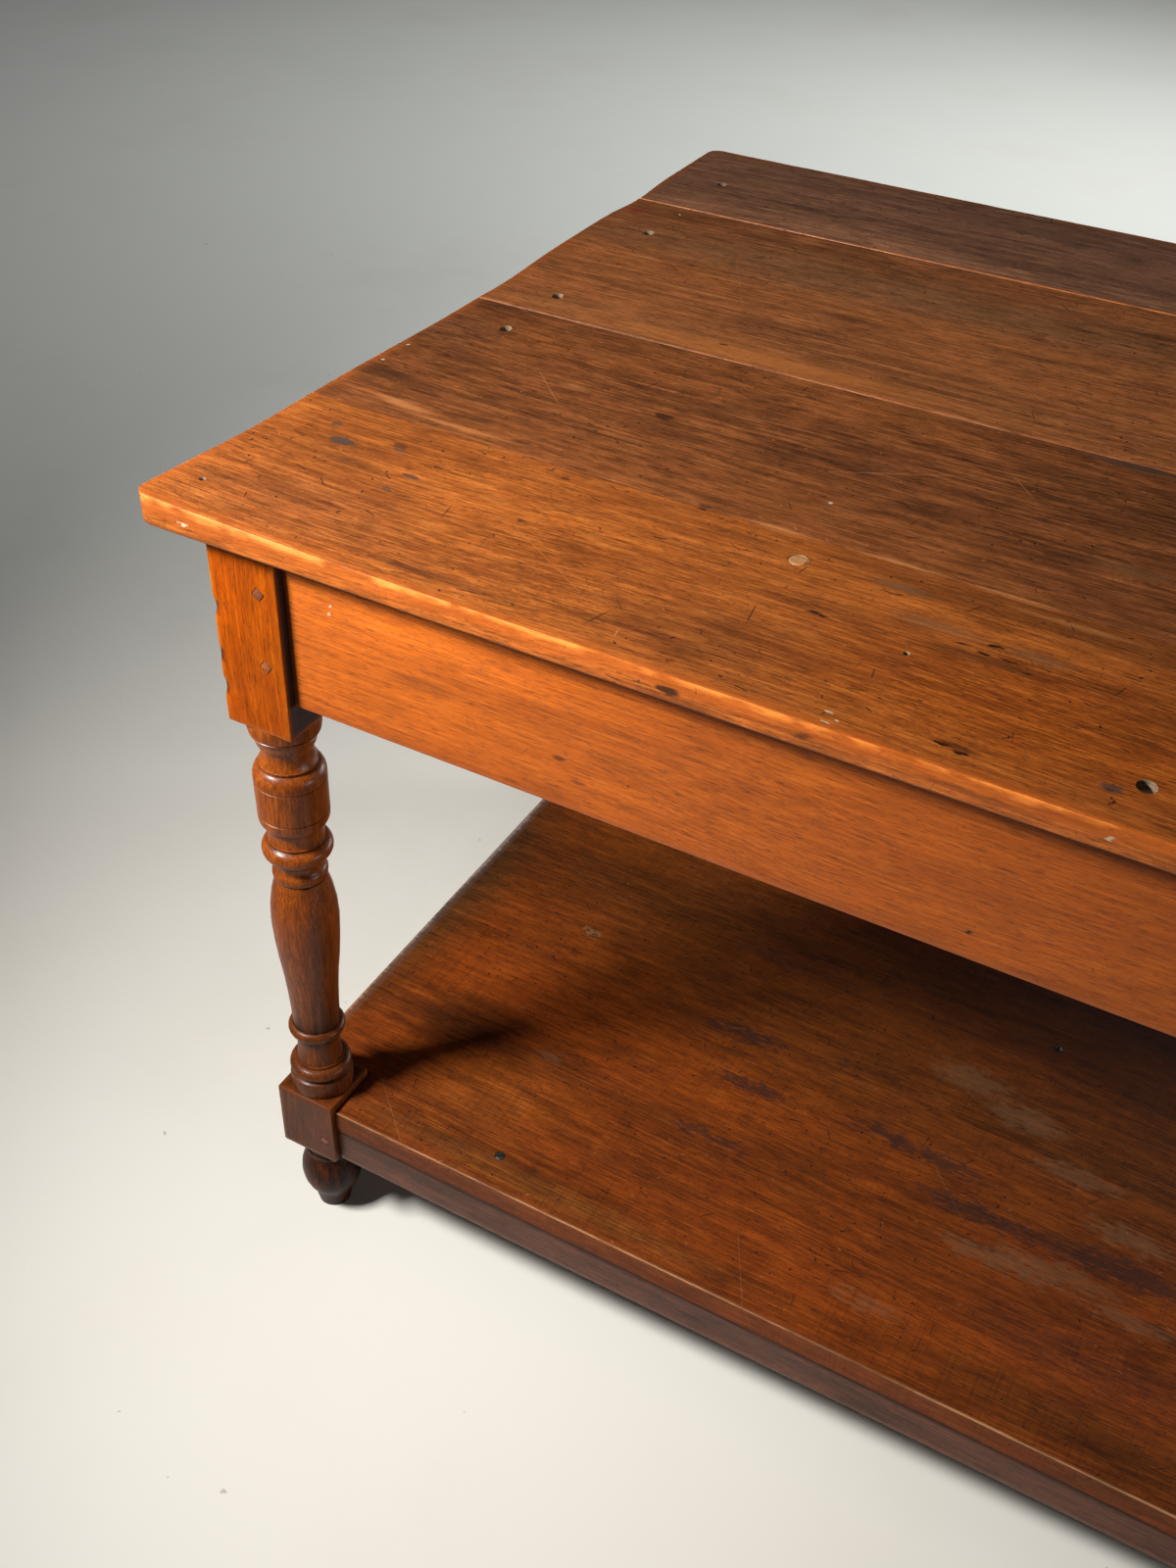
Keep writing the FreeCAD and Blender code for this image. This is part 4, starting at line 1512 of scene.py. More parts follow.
    def shape(self, bm: Mesh, board: Board) -> None:
        """Give a plank its worn end, lifted corner and uneven face.

        Args:
            bm: The plank's mesh.
            board: The plank's place.
        """
        index, low = board.index, board.low
        for vert in bm.verts:
            place = vert.co.copy()
            upper = board.rise(place)
            fade = 1.0 - ease_step(place.x, low.x + self.end_fade / 3, low.x + self.end_fade)
            vert.co.x += along(self.end_line, place.y) * fade
            vert.co.z += upper * self.face_wave * ripple(place, self.face_stretch, index)
            away = math.hypot(place.x - low.x, place.y - self.end_line[0][0])
            lift = max(1.0 - away / self.curl_reach, 0.0) ** 2
            vert.co.z += self.curl_rise * lift * upper
            if index == self.proud_plank:
                proud = 1.0 - ease_step(place.y - low.y, 0.0, self.proud_reach)
                vert.co.z += self.proud_rise * upper * proud
            rim = ease_step(abs(place.y), *self.rim_band)
            nibble = ripple(place, self.nibble_long, 4.0)
            nibble += self.nibble_share * ripple(place, self.nibble_short, 6.0)
            vert.co.y -= math.copysign(self.rim_sway, place.y) * rim * (self.rim_mean + nibble)
            vert.co.z -= self.rim_drop * rim * upper * max(nibble, 0.0)


@dataclass
class TurnedLeg:
    """A turned leg: two square blocks, a baluster between them and a bun foot."""

    nodes: tuple[str, ...] = ("leg_front_left", "leg_front_right", "leg_back_right", "leg_back_left")
    foot_height: float = 0.0984
    lower_top: float = 0.175
    upper_bottom: float = 0.604
    foot_radius: float = 0.0289
    shaft_radius: float = 0.0302
    arris_round: float = 0.0016
    arris_reach: float = 0.006
    sunk: float = 0.003
    segments: int = 56
    arc_turn: float = 0.22
    crown_step: float = 0.0005
    crown_window: float = 0.005
    peg_gap: float = 0.0004
    block_strip: float = 0.006
    arris_segments: int = 2
    inner_turn: float = 0.95
    block_worn: float = 0.8
    bead_worn: float = 0.55
    bead_rise: Pair = (0.0006, 0.0032)
    groove_fall: Pair = (0.0002, 0.0018)
    low_shade_and_dirt: float = 0.6
    low_shade_and_dirt_fade: Pair = (0.1, 0.5)
    foot_shade_and_dirt: float = 0.32
    foot_shade_and_dirt_fade: Pair = (0.09, 0.099)
    chips: tuple[Pair, ...] = ((0.709, 0.0022), (0.637, 0.002), (0.668, 0.0008))
    chip_high: float = 0.009
    chip_wide: float = 0.007
    chip_edge: float = 0.2
    chip_dark: float = 0.9
    crowns: list[float] = field(default_factory=list)
    foot_shares: tuple[Spot, ...] = (
        (0.0, 0.55, 0.0), (0.19, 0.67, 0.0), (0.215, 0.7, 0.155), (0.76, 0.75, 0.0), (0.765, 0.785, 0.0),
        (0.795, 0.785, 0.0), (0.8, 0.735, -0.085), (1.0, 0.84, 0.0),
    )
    shaft_shares: tuple[Spot, ...] = (
        (0.0, 0.945, 0.04), (0.043, 0.945, 0.0), (0.0457, 0.875, 0.0), (0.0483, 0.84, 0.31),
        (0.0765, 0.8, 0.0), (0.0775, 0.74, 0.0), (0.084, 0.74, 0.0), (0.0845, 0.7, -0.05),
        (0.162, 0.7, 0.41), (0.189, 0.71, -0.0105), (0.334, 0.808, 0.0125), (0.492, 0.98, 0.038),
        (0.604, 0.74, 0.0), (0.6045, 0.715, 0.19), (0.634, 0.7, -0.12), (0.661, 0.81, 0.0),
        (0.662, 0.83, 0.305), (0.7005, 0.83, 0.0), (0.702, 0.8, 0.0), (0.703, 0.81, 0.0),
        (0.7075, 0.81, 0.0), (0.708, 0.79, -0.09), (0.743, 0.83, 0.0), (0.7435, 0.845, 0.117),
        (0.7645, 0.985, 0.0), (0.774, 0.99, 0.0), (0.7753, 0.962, 0.0), (0.7766, 0.99, 0.0),
        (0.8512, 0.998, 0.0), (0.8525, 0.97, 0.0), (0.8538, 0.998, 0.0), (0.8625, 1.0, 0.118),
        (0.888, 0.83, 0.0), (0.889, 0.8, 0.0), (0.8905, 0.813, 0.0), (0.895, 0.813, 0.0),
        (0.8955, 0.795, -0.12), (0.9405, 0.782, 0.0), (0.941, 0.81, -0.07), (0.967, 0.955, 0.0),
        (0.9687, 0.927, 0.0), (0.9702, 0.965, 0.06), (1.0, 0.97, 0.0),
    )

    def outline(self, shares: tuple[Spot, ...], base: float, height: float, radius: float) -> Outline:
        """Work out a turned outline, with arcs where it bows.

        Args:
            shares: Rows of height share, radius share and bow of the stretch above.
            base: The height of its lower end.
            height: How tall it is.
            radius: The radius that the shares follow.

        Returns:
            Rows of radius and height.
        """
        points = [Vector((r * radius, base + z * height)) for z, r, bow in shares]
        rows = []
        for low, high, (z, r, bow) in zip(points, points[1:], shares):
            rows.append(tuple(low))
            if bow:
                rows.extend(self.arc(low, high, bow))
        rows.append(tuple(points[-1]))
        return rows

    def arc(self, low: Vector, high: Vector, bow: float) -> Outline:
        """Work out the points of an arc between its two ends.

        Args:
            low: The lower end.
            high: The upper end.
            bow: The arc's height as a share of its chord, positive where it swells.

        Returns:
            The points between the ends.
        """
        chord = high - low
        ahead = chord.normalized()
        outward = Vector((ahead.y, -ahead.x))
        rise = bow * chord.length
        radius = (chord.length ** 2 / 4 + rise ** 2) / (2 * rise)
        centre = (low + high) / 2 + outward * (rise - radius)
        half = 2 * math.atan(2 * abs(bow))
        count = max(math.ceil(2 * half / self.arc_turn), 3)
        turns = [half * (2 * index / count - 1) for index in range(1, count)]
        return [tuple(centre + outward * (radius * math.cos(turn)) + ahead * (abs(radius) * math.sin(turn)))
                for turn in turns]

    def build(self) -> None:
        """Build the four legs from one pattern."""
        shaft = self.outline(self.shaft_shares, self.lower_top, self.upper_bottom - self.lower_top,
                             self.shaft_radius)
        foot = self.outline(self.foot_shares, 0.0, self.foot_height, self.foot_radius)
        self.crowns = self.read_crowns(foot + shaft)
        low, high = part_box(self.nodes[0])
        pattern = self.pattern(shaft, foot, (high.x - low.x) / 2, high.z)
        for index, node in enumerate(self.nodes):
            low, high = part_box(node)
            middle = (low + high) / 2
            middle.z = 0.0
            bm = pattern.copy()
            turn = Matrix.Rotation(index * math.pi / 2, 3, "Z")
            bmesh.ops.rotate(bm, verts=bm.verts, cent=(0, 0, 0), matrix=turn)
            bmesh.ops.translate(bm, vec=middle, verts=bm.verts)
            self.leg(index, node, bm, low, high)
        pattern.free()

    def pattern(self, shaft: Outline, foot: Outline, half: float, top: float) -> Mesh:
        """Build one leg about the Z axis.

        Args:
            shaft: The shaft's outline.
            foot: The foot's outline.
            half: Half the width of the square blocks.
            top: The height of the leg.

        Returns:
            A closed mesh.
        """
        bm = self.square(half, self.foot_height, self.lower_top)
        stem = [(0.0, self.lower_top - self.sunk), (shaft[0][0], self.lower_top - self.sunk)] + shaft
        stem += [(shaft[-1][0], self.upper_bottom + self.sunk), (0.0, self.upper_bottom + self.sunk)]
        bun = [(0.0, 0.0)] + foot
        bun += [(foot[-1][0], self.foot_height + self.sunk), (0.0, self.foot_height + self.sunk)]
        bm = work(bm, spin_outline(stem, self.segments), Joinery.FUSE)
        bm = work(bm, spin_outline(bun, self.segments), Joinery.FUSE)
        return work(bm, self.square(half, self.upper_bottom, top), Joinery.FUSE)

    def square(self, half: float, bottom: float, top: float) -> Mesh:
        """Build one square block about the Z axis, with eased arrises.

        Args:
            half: Half its width.
            bottom: Its lower height.
            top: Its upper height.

        Returns:
            A closed mesh.
        """
        low, high = Vector((-half, -half, bottom)), Vector((half, half, top))
        bm = cut_block(low, high)
        ease(bm, bm.edges[:], self.arris_round, self.arris_segments)
        slice_along(bm, 2, steps(bottom, top, self.block_strip))
        for axis in (0, 1):
            slice_along(bm, axis, (self.arris_reach - half, half - self.arris_reach))
        return bm

    def read_crowns(self, outline: Outline) -> list[float]:
        """Find where the turned outline stands out and where it falls back.

        Args:
            outline: Rows of radius and height, from the floor up.

        Returns:
            How far each level stands out from the levels round it.
        """
        rows = [(height, radius) for radius, height in outline]
        count = round(self.upper_bottom / self.crown_step) + 1
        radii = [along(rows, index * self.crown_step) for index in range(count)]
        window = round(self.crown_window / self.crown_step)
        crowns = []
        for index, radius in enumerate(radii):
            near = radii[max(index - window, 0):index + window + 1]
            crowns.append(radius - sum(near) / len(near))
        return crowns

    def leg(self, index: int, node: str, bm: Mesh, low: Vector, high: Vector) -> None:
        """Finish one leg in its place.

        Args:
            index: Which leg.
            node: The frame's node that it stands for.
            bm: The leg's mesh, in place.
            low: The leg's lowest corner.
            high: The leg's highest corner.
        """
        pegs = [peg for peg in peg_places() if peg.stands_in(low, high)]
        bm = work(bm, gathered(peg.stick(self.peg_gap, self.sunk) for peg in pegs), Joinery.CUT)
        inward = Vector((-math.copysign(1.0, low.x), -math.copysign(1.0, low.y), 0.0))
        # Inner faces of each upper block take the near black wood of painted shade.
        for face in bm.faces:
            on_block = face.calc_center_median().z > self.upper_bottom - TINY
            inner_in_shade = max(face.normal.x * inward.x, face.normal.y * inward.y) > self.inner_turn
            face.material_index = (2 if inner_in_shade else 1) if on_block else 0
        paint_wear(bm, lambda place: self.rubbed(place, low, high),
                   lambda place: self.sheltered(place, high))
        if index == 0:
            self.chip(bm, low)
        finishes = [LEG_WOOD.material(), BLOCK_WOOD.material(), SHADED_REVEAL_WOOD.material()]
        finish_piece(node + "_turned", bm, finishes, [node])

    def crown(self, place: Vector) -> float:
        """Read how far the turned outline stands out at a point's level."""
        return self.crowns[min(max(round(place.z / self.crown_step), 0), len(self.crowns) - 1)]

    def block_at(self, place: Vector, top: float) -> Pair | None:
        """Find the square block that a point belongs to.

        Args:
            place: A point on the leg.
            top: The height of the leg.

        Returns:
            The block's lower and upper height, or None on the turned stretches.
        """
        for bottom, upper in ((self.foot_height, self.lower_top), (self.upper_bottom, top)):
            if bottom - TINY <= place.z <= upper + TINY:
                return bottom, upper
        return None

    def rubbed(self, place: Vector, low: Vector, high: Vector) -> float:
        """Tell how worn a point of a leg is, most on its arrises and beads.

        Args:
            place: A point on the leg.
            low: The leg's lowest corner.
            high: The leg's highest corner.

        Returns:
            A share from 0 to 1.
        """
        block = self.block_at(place, high.z)
        if block is None:
            return self.bead_worn * ease_step(self.crown(place), *self.bead_rise)
        block_low = Vector((low.x, low.y, block[0]))
        block_high = Vector((high.x, high.y, block[1]))
        return self.block_worn * arris_wear(place, block_low, block_high, self.arris_reach)

    def sheltered(self, place: Vector, high: Vector) -> float:
        """Tell how dark a point of a leg is: dirt in its grooves, and painted shade with dirt towards the
        floor.

        Args:
            place: A point on the leg.
            high: The leg's highest corner.

        Returns:
            A share from 0 to 1.
        """
        # Painted shade with some dirt: the leg darkens towards the floor, where less light reaches, and its
        # foot darkens most.
        shade_and_dirt = self.low_shade_and_dirt * (1.0 - ease_step(place.z, *self.low_shade_and_dirt_fade))
        shade_and_dirt += self.foot_shade_and_dirt * (1.0 - ease_step(place.z, *self.foot_shade_and_dirt_fade))
        if self.block_at(place, high.z):
            return shade_and_dirt
        return max(shade_and_dirt, ease_step(-self.crown(place), *self.groove_fall))

    def chip(self, bm: Mesh, low: Vector) -> None:
        """Knock small chips out of the outer arris of the upper block.

        Args:
            bm: The leg.
            low: The leg's lowest corner, which the arris stands on.
        """
        hollow_layer = bm.verts.layers.float[HOLLOW_LAYER]
        wear_layer = bm.verts.layers.float[WEAR_LAYER]
        for vert in bm.verts:
            aside = math.hypot(vert.co.x - low.x, vert.co.y - low.y)
            for height, depth in self.chips:
                bite = max(1.0 - abs(vert.co.z - height) / self.chip_high, 0.0)
                bite *= max(1.0 - aside / self.chip_wide, 0.0)
                vert.co.x += depth * bite
                vert.co.y += depth * bite
                if bite > self.chip_edge:
                    vert[hollow_layer] = self.chip_dark
                    vert[wear_layer] = 0.0


@dataclass(frozen=True)
class Peg:
    """A square peg driven through a joint from the front, the back or an end."""

    place: Vector
    length: float
    axis: int
    outward: float
    half: float = 0.004
    turn: float = math.radians(35)

    def stands_in(self, low: Vector, high: Vector) -> bool:
        """Tell whether the peg's middle lies between two corners, seen from above."""
        return all(low[axis] - TINY <= self.place[axis] <= high[axis] + TINY for axis in (0, 1))

    def stick(self, gap: float, over: float) -> Mesh:
        """Give the peg, or the hole that it sits in.

        Args:
            gap: How much wider than the peg it is on each side.
            over: How far it stands out past the peg's outer end.

        Returns:
            A closed mesh in place.
        """
        half = self.half + gap
        low = Vector((-half, -half, -half))
        high = Vector((half, half, half))
        low[self.axis] = -self.length / 2 - (over if self.outward < 0 else gap)
        high[self.axis] = self.length / 2 + (over if self.outward > 0 else gap)
        bm = cut_block(low, high)
        turn = Matrix.Rotation(self.turn, 3, "XY"[self.axis])
        bmesh.ops.rotate(bm, verts=bm.verts, cent=(0, 0, 0), matrix=turn)
        bmesh.ops.translate(bm, vec=self.place, verts=bm.verts)
        return bm


def peg_places(nodes: tuple[str, ...] = ("apron_pegs", "rail_pegs")) -> list[Peg]:
    """Find the pegs of the frame.

    Args:
        nodes: The nodes that hold pegs.

    Returns:
        One row for each peg.
    """
    pegs = []
    for node in nodes:
        for low, high in islands(node):
            size = high - low
            axis = 0 if size.x > size.y else 1
            place = (low + high) / 2
            pegs.append(Peg(place, size[axis], axis, math.copysign(1.0, place[axis])))
    return pegs


@dataclass
class Frame:
    """The aprons, rails and bearers that tie the legs together."""

    apron_round: float = 0.0016
    rail_round: float = 0.0018
    bearer_round: float = 0.0012
    segments: int = 2
    strip: float = 0.03
    arris_reach: float = 0.007
    arris_worn: float = 0.5
    sway: float = 0.00035
    sway_stretch: Spot = (5.0, 5.0, 9.0)
    wave: float = 0.0002
    wave_stretch: Spot = (14.0, 14.0, 3.0)
    under_board_shade_fade: Pair = (0.001, 0.009)
    under_board_shade_lost: float = 0.75
    bearer_seed: float = 7.0

    def build(self) -> None:
        """Build every bar between the legs."""
        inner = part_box("leg_front_left")[1]
        for seed, side in enumerate(("front", "back", "left", "right")):
            grain = Grain.ALONG_X if side in ("front", "back") else Grain.ALONG_Y
            axis = 0 if grain is Grain.ALONG_X else 1
            for node, finish, slot, radius in (
                    ("apron_" + side, APRON_WOODS[grain], "apron_wood", self.apron_round),
                    ("shelf_rail_" + side, RAIL_WOODS[grain], "rail_wood", self.rail_round)):
                low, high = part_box(node)
                low[axis], high[axis] = inner[axis], -inner[axis]
                # The rails take painted shade under the shelf boards, over a little dirt.
                shade_and_dirt = partial(self.rail_shade_and_dirt, high.z) if slot == "rail_wood" else unworn
                bm = self.bar(low, high, radius, seed, shade_and_dirt)
                finish_piece(node + "_board", bm, [finish.material()], [node])
        for kind, ends in (("top_bearer_", "apron_front"), ("shelf_bearer_", "shelf_rail_front")):
            for side in ("left", "right"):
                node = kind + side
                low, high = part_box(node)
                low.y, high.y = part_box(ends)[1].y, -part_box(ends)[1].y
                bm = self.bar(low, high, self.bearer_round, self.bearer_seed, unworn)
                finish_piece(node + "_bar", bm, [BEARER_WOOD.material()], [node])

    def rail_shade_and_dirt(self, top: float, place: Vector) -> float:
        """Tell how dark a point of a rail is: painted shade just under the shelf boards, over a little dirt
        everywhere.
        """
        return 1.0 - self.under_board_shade_lost * ease_step(top - place.z, *self.under_board_shade_fade)

    def bar(self, low: Vector, high: Vector, radius: float, seed: float,
            shade_and_dirt: Callable[[Vector], float]) -> Mesh:
        """Build a sawn bar or board with eased arrises.

        Args:
            low: Its lowest corner.
            high: Its highest corner.
            radius: How round its arrises are.
            seed: Makes its unevenness its own.
            shade_and_dirt: Gives a share from 0 to 1 of dark wood: on the rails, painted shade under the
                shelf boards over a little dirt.

        Returns:
            A closed mesh in place.
        """
        bm = cut_block(low, high)
        ease(bm, bm.edges[:], radius, self.segments)
        for axis in range(3):
            near = (low[axis] + self.arris_reach, high[axis] - self.arris_reach)
            places = [place for place in near if low[axis] + radius < place < high[axis] - radius]
            slice_along(bm, axis, places + steps(low[axis], high[axis], self.strip))
        paint_wear(bm, lambda place: self.arris_worn * arris_wear(place, low, high, self.arris_reach), shade_and_dirt)
        thin = 0 if high.x - low.x < high.y - low.y else 1
        for vert in bm.verts:
            vert.co[thin] += self.sway * ripple(vert.co, self.sway_stretch, seed)
            vert.co.z += self.wave * ripple(vert.co, self.wave_stretch, seed + 5)
        return bm


@dataclass
class Shelf:
    """The three boards of the low shelf, notched round the legs."""

    nodes: tuple[str, ...] = ("shelf_board_front", "shelf_board_middle", "shelf_board_back")
    rim_round: float = 0.0018
    joint_round: float = 0.0005
    notch_gap: float = 0.0008
    strip: float = 0.012
    rank: float = 0.03
    joint_segments: int = 2
    rim_segments: int = 3
    wear_reach: float = 0.0032
    wear_near: float = 0.001
    worn_least: float = 0.75
    worn_more: float = 0.6
    chafe_mean: float = 0.5
    chafe_swing: float = 0.5
    chafe_short_swing: float = 0.4
    chafe_long: Spot = (9.0, 9.0, 9.0)
    chafe_short: Spot = (34.0, 34.0, 9.0)
    edge_dust: float = 0.26
    edge_dirt: float = 0.1
    face_wave: float = 0.00025
    face_stretch: Spot = (4.0, 12.0, 1.0)
    face_seed: int = 20
    rim_band: Pair = (0.418, 0.4235)
    bite_stretch: Spot = (42.0, 6.0, 6.0)
    bite_spared: float = 0.1
    bite_drop: float = 0.0012
    bite_back: float = 0.001
    screw_gap: float = 0.0003
    screw_deep: float = 0.003
    screw_flare: float = 0.0002

    def build(self) -> None:
        """Build the three boards."""
        screws = islands("shelf_screws")
        radius = (screws[0][1].x - screws[0][0].x) / 2 + self.screw_gap
        middles = [(low + high) / 2 for low, high in screws]
        bores = [Bore(place.x, place.y, radius, self.screw_deep, self.screw_flare) for place in middles]
        for board in lay_boards(self.nodes, bores):
            self.plank(board)

    def plan(self, board: Board) -> Outline:
        """Give a board's outline seen from above.

        Args:
            board: The board's place.

        Returns:
            Its corners.
        """
        low, high = board.low, board.high
        if not board.outer:
            return [(low.x, low.y), (high.x, low.y), (high.x, high.y), (low.x, high.y)]
        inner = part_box("leg_front_left")[1]
        side_x, side_y = inner.x + self.notch_gap, inner.y + self.notch_gap
        outer = -abs(board.outer[0])
        joint = -abs(board.joints[0])
        corners = [(side_x, outer), (-side_x, outer), (-side_x, side_y), (high.x, side_y), (high.x, joint),
                   (low.x, joint), (low.x, side_y), (side_x, side_y)]
        return corners if board.index == 0 else [(x, -y) for x, y in reversed(corners)]

    def plank(self, board: Board) -> None:
        """Build one board.

        Args:
            board: The board's place.
        """
        low, high = board.low, board.high
        bm = bmesh.new()
        face = bm.faces.new([bm.verts.new((x, y, low.z)) for x, y in self.plan(board)])
        raised = bmesh.ops.extrude_face_region(bm, geom=[face])["geom"]
        lifted = [item for item in raised if isinstance(item, bmesh.types.BMVert)]
        bmesh.ops.translate(bm, vec=(0, 0, high.z - low.z), verts=lifted)
        bmesh.ops.recalc_face_normals(bm, faces=bm.faces)
        for joint in board.joints:
            line = edges_on(bm, lambda co: abs(co.y - joint) < TINY and abs(co.z - high.z) < TINY)
            ease(bm, line, self.joint_round, self.joint_segments)
        rim = [edge for edge in edges_on(bm, lambda co: abs(co.z - high.z) < TINY)
               if not any(abs(vert.co.y - joint) < 2 * self.joint_round and self.lengthways(edge)
                          for vert in edge.verts for joint in board.joints)]
        ease(bm, rim, self.rim_round, self.rim_segments)
        slice_along(bm, 0, steps(low.x, high.x, self.strip))
        ranks = steps(low.y, high.y, self.rank)
        slice_along(bm, 1, ranks + [low.y + self.wear_reach, high.y - self.wear_reach])
        slice_along(bm, 2, (high.z - self.wear_reach, low.z + self.wear_reach))
        bm = bore_all(bm, board.bores, high.z, 0)
        paint_wear(bm, partial(self.rubbed, board), partial(self.sheltered, board))
        self.shape(bm, board)
        finish_piece(board.node + "_plank", bm, [SHELF_WOODS[board.index].material()],
                     [board.node])

    @staticmethod
    def lengthways(edge: Edge) -> bool:
        """Tell whether an edge runs along the table."""
        return abs(edge.verts[0].co.x - edge.verts[1].co.x) > abs(edge.verts[0].co.y - edge.verts[1].co.y)

    def rubbed(self, board: Board, place: Vector) -> float:
        """Tell how worn a point of a board is.

        Args:
            board: The board's place.
            place: A point on the board.

        Returns:
            A share from 0 to about 1.
        """
        chafed = self.chafe_mean + self.chafe_swing * ripple(place, self.chafe_long, 3.0)
        chafed += self.chafe_short_swing * ripple(place, self.chafe_short, 5.0)
        worn = self.worn_least + self.worn_more * min(max(chafed, 0.0), 1.0)
        away = math.hypot(board.rim(place), place.z - board.high.z)
        near = 1.0 - ease_step(away, self.wear_near, self.wear_reach)
        dusty = self.edge_dust if place.z < board.high.z - self.wear_reach + TINY else 0.0
        return max(worn * near, dusty)

    def sheltered(self, board: Board, place: Vector) -> float:
        """Tell how dark a point of a board is: a little dirt on its edge, and painted shade at the foot of
        its edge and on its underside.

        Args:
            board: The board's place.
            place: A point on the board.

        Returns:
            A share from 0 to 1.
        """
        if place.z > board.high.z - self.wear_reach - TINY:
            return 0.0
        # Painted shade: full darkness on the underside and at the foot of the edge, where the board sits
        # over the rail; the light darkening of the edge is dirt.
        return 1.0 if place.z < board.low.z + TINY else self.edge_dirt

    def shape(self, bm: Mesh, board: Board) -> None:
        """Give a board its uneven face and nibbled front arris.

        Args:
            bm: The board's mesh.
            board: The board's place.
        """
        for vert in bm.verts:
            place = vert.co.copy()
            upper = board.rise(place)
            wave = ripple(place, self.face_stretch, self.face_seed + board.index)
            vert.co.z += upper * self.face_wave * wave
            rim = ease_step(abs(place.y), *self.rim_band) * upper
            bite = max(ripple(place, self.bite_stretch, 31.0) - self.bite_spared, 0.0)
            vert.co.z -= self.bite_drop * rim * bite
            vert.co.y -= math.copysign(self.bite_back, place.y) * rim * bite


@dataclass
class Fasteners:
    """The screws, pegs and plug."""

    screw_segments: int = 28
    screw_turn: float = 1.9
    first_turn: float = 0.6
    head_flat_share: float = 0.93
    crown_share: float = 0.5
    crown_rise: float = 0.8
    slot_width: float = 0.0013
    slot_depth: float = 0.0012
    dome: float = 0.0003
    shank: float = 0.0025
    point: float = 0.0006
    peg_proud: float = 0.0004
    peg_round: float = 0.0009
    peg_segments: int = 2
    plug_round: float = 0.0004
    plug_segments: int = 40
    plug_sunk: float = 0.0002

    def build(self) -> None:
        """Build every fastener and the plug."""
        self.screws("top_screws", SCREW_STEEL, "screw_steel")
        self.screws("shelf_screws", SCREW_IRON, "screw_iron")
        for node in ("apron_pegs", "rail_pegs"):
            self.pegs(node)
        self.plug()

    def screws(self, node: str, finish: MetalFinish, slot: str) -> None:
        """Build a set of slotted screws.

        Args:
            node: The frame's node that holds them.
            finish: Their metal.
            slot: Not used.
        """
        boxes = islands(node)
        low, high = boxes[0]
        radius = (high.x - low.x) / 2
        length = high.z - low.z
        outline = [(0.0, -length), (self.point, -length), (self.shank, self.shank * 2 - length),
                   (self.shank, self.shank - radius), (radius, -self.dome),
                   (radius * self.head_flat_share, 0.0),
                   (radius * self.crown_share, self.dome * self.crown_rise), (0.0, self.dome)]
        single = spin_outline(outline, self.screw_segments)
        slot_low = Vector((-radius * 2, -self.slot_width / 2, -self.slot_depth))
        slot_high = Vector((radius * 2, self.slot_width / 2, self.slot_depth * 2))
        single = work(single, cut_block(slot_low, slot_high), Joinery.CUT)
        bm = bmesh.new()
        for index, (low, high) in enumerate(boxes):
            middle = (low + high) / 2
            turn = Matrix.Rotation(self.first_turn + self.screw_turn * index, 4, "Z")
            add_copy(bm, single, Matrix.Translation((middle.x, middle.y, high.z)) @ turn)
        single.free()
        finish_piece(node + "_metal", bm, [finish.material()], [node])

    def pegs(self, node: str) -> None:
        """Build a set of square pegs.

        Args:
            node: The frame's node that holds them.
        """
        singles = [peg.stick(0.0, self.peg_proud) for peg in peg_places((node,))]
        for single in singles:
            ease(single, single.edges[:], self.peg_round, self.peg_segments)
        finish_piece(node + "_wood", gathered(singles), [PEG_WOOD.material()], [node])

    def plug(self) -> None:
        """Build the pale plug in the front board."""
        low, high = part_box("top_plug")
        middle = (low + high) / 2
        radius = (high.x - low.x) / 2
        face = high.z - self.plug_sunk
        outline = [(0.0, low.z), (radius, low.z), (radius, face - self.plug_round),
                   (radius - self.plug_round, face), (radius / 2, face), (0.0, face)]
        bm = spin_outline(outline, self.plug_segments)
        bmesh.ops.translate(bm, vec=(middle.x, middle.y, 0.0), verts=bm.verts)
        finish_piece("top_plug_wood", bm, [PLUG_WOOD.material()], ["top_plug"])


@dataclass(frozen=True)
class SoftBox:
    """A soft studio light that is aimed at a point."""

    name: str
    at: Spot
    aim: Spot
    size: Pair
    power: float
    colour: Spot = (1.0, 1.0, 1.0)
    spread: float = math.pi

    def build(self) -> None:
        """Hang the light."""
        data = bpy.data.lights.new(self.name, "AREA")
        data.shape = "RECTANGLE"
        data.size, data.size_y = self.size
        data.energy = self.power
        data.color = self.colour
        data.spread = self.spread
        light = bpy.data.objects.new(self.name, data)
        light.location = self.at
        away = Vector(self.aim) - Vector(self.at)
        light.rotation_euler = away.to_track_quat("-Z", "Y").to_euler()
        bpy.context.scene.collection.objects.link(light)


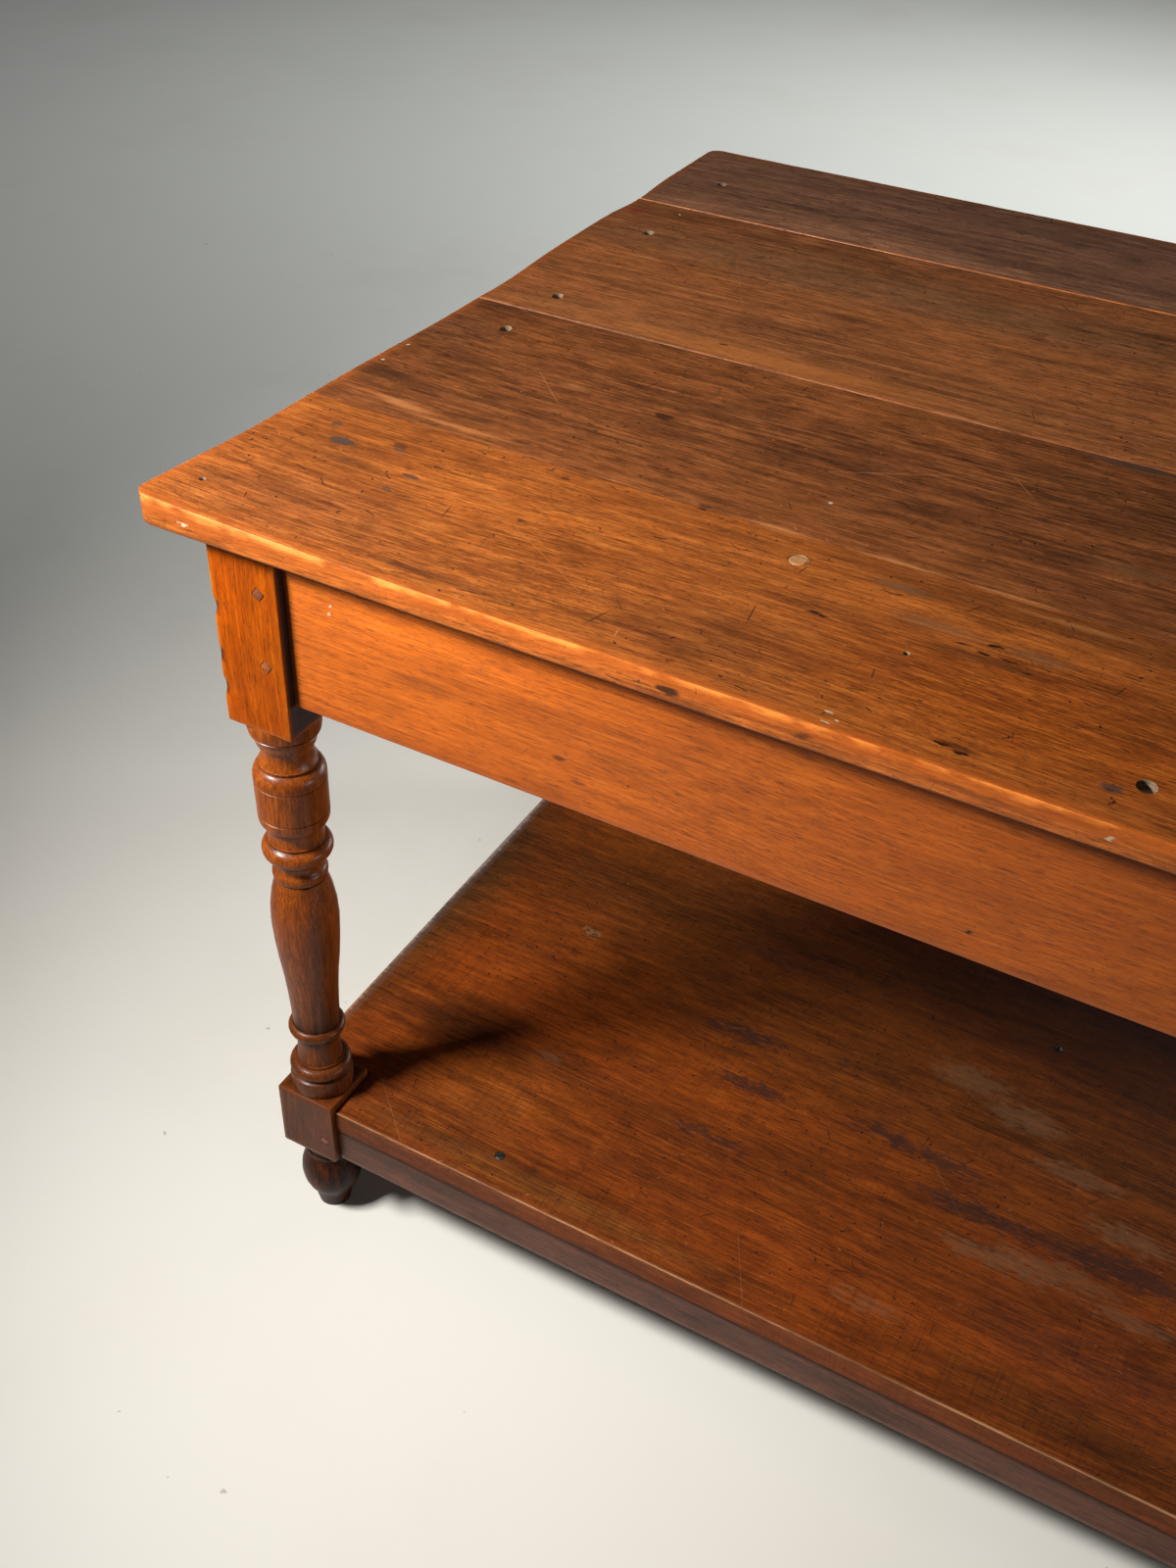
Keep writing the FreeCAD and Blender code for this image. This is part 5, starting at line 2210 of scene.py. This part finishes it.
@dataclass
class Studio:
    """The floor, the lights and the camera."""

    floor_half: float = 9.0
    lens: float = 38.09
    sensor: float = 36.0
    azimuth: float = math.radians(27.76)
    drop: float = math.radians(38.72)
    roll: float = math.radians(2.02)
    stand: Spot = (-0.22784, -1.21559, 1.38236)
    air: Colour = (0.5, 0.52, 0.55, 1.0)
    air_strength: float = 0.045
    lights: tuple[SoftBox, ...] = (
        SoftBox("key light", (-1.446, -1.05, 1.4), (-0.45, -0.05, 0.45), (0.34, 0.17), 18.2,
                (1.0, 0.99, 0.98), 1.87),
        SoftBox("overhead light", (-0.3, -0.3, 3.2), (-0.3, -0.3, 0.0), (2.4, 2.4), 5.2,
                (0.98, 0.99, 1.0)),
        SoftBox("background light", (1.4, 3.2, 2.8), (-2.4, 3.0, 0.0), (2.2, 1.6), 62.0,
                (0.9, 0.96, 1.0), math.radians(84)),
        SoftBox("back light", (0.9, 3.0, 0.5), (0.1, 0.45, 0.5), (1.6, 0.5), 14.0, (1.0, 0.99, 0.98), 1.6),
        SoftBox("end light", (3.2, -0.1, 0.5), (1.0, 0.0, 0.5), (1.6, 0.5), 11.0, (1.0, 0.99, 0.98), 1.6),
    )

    def build(self) -> None:
        """Build the stage."""
        self.floor()
        for light in self.lights:
            light.build()
        world = bpy.data.worlds.new("studio air")
        world.use_nodes = True
        air = world.node_tree.nodes["Background"]
        air.inputs["Color"].default_value = self.air
        air.inputs["Strength"].default_value = self.air_strength
        bpy.context.scene.world = world
        bpy.context.scene.view_settings.view_transform = "Standard"
        self.camera()

    def floor(self) -> None:
        """Lay the floor."""
        bm = bmesh.new()
        bmesh.ops.create_grid(bm, x_segments=2, y_segments=2, size=self.floor_half)
        floor = loose_object("floor", bm)
        floor.data.materials.append(FLOOR_PAINT.material())

    def camera(self) -> None:
        """Stand the camera where the photograph was taken from."""
        data = bpy.data.cameras.new("camera")
        data.sensor_fit = "VERTICAL"
        data.sensor_height = self.sensor
        data.lens = self.lens
        level = math.cos(self.drop)
        ahead = Vector((-math.sin(self.azimuth) * level, math.cos(self.azimuth) * level,
                        -math.sin(self.drop)))
        right = ahead.cross(Vector((0, 0, 1))).normalized()
        up = right.cross(ahead)
        turned_right = right * math.cos(self.roll) + up * math.sin(self.roll)
        turned_up = up * math.cos(self.roll) - right * math.sin(self.roll)
        camera = bpy.data.objects.new("camera", data)
        turn = Matrix((turned_right, turned_up, -ahead)).transposed().to_4x4()
        camera.matrix_world = Matrix.Translation(self.stand) @ turn
        bpy.context.scene.collection.objects.link(camera)
        bpy.context.scene.camera = camera


def main() -> None:
    """Build the table piece by piece, then the studio round it."""
    logging.basicConfig(level=logging.INFO, format="%(name)s %(message)s")
    for assembly in (TableTop(), TurnedLeg(), Frame(), Shelf(), Fasteners(), Studio()):
        log.info("building %s", type(assembly).__name__)
        assembly.build()


if __name__ == "__main__":
    main()
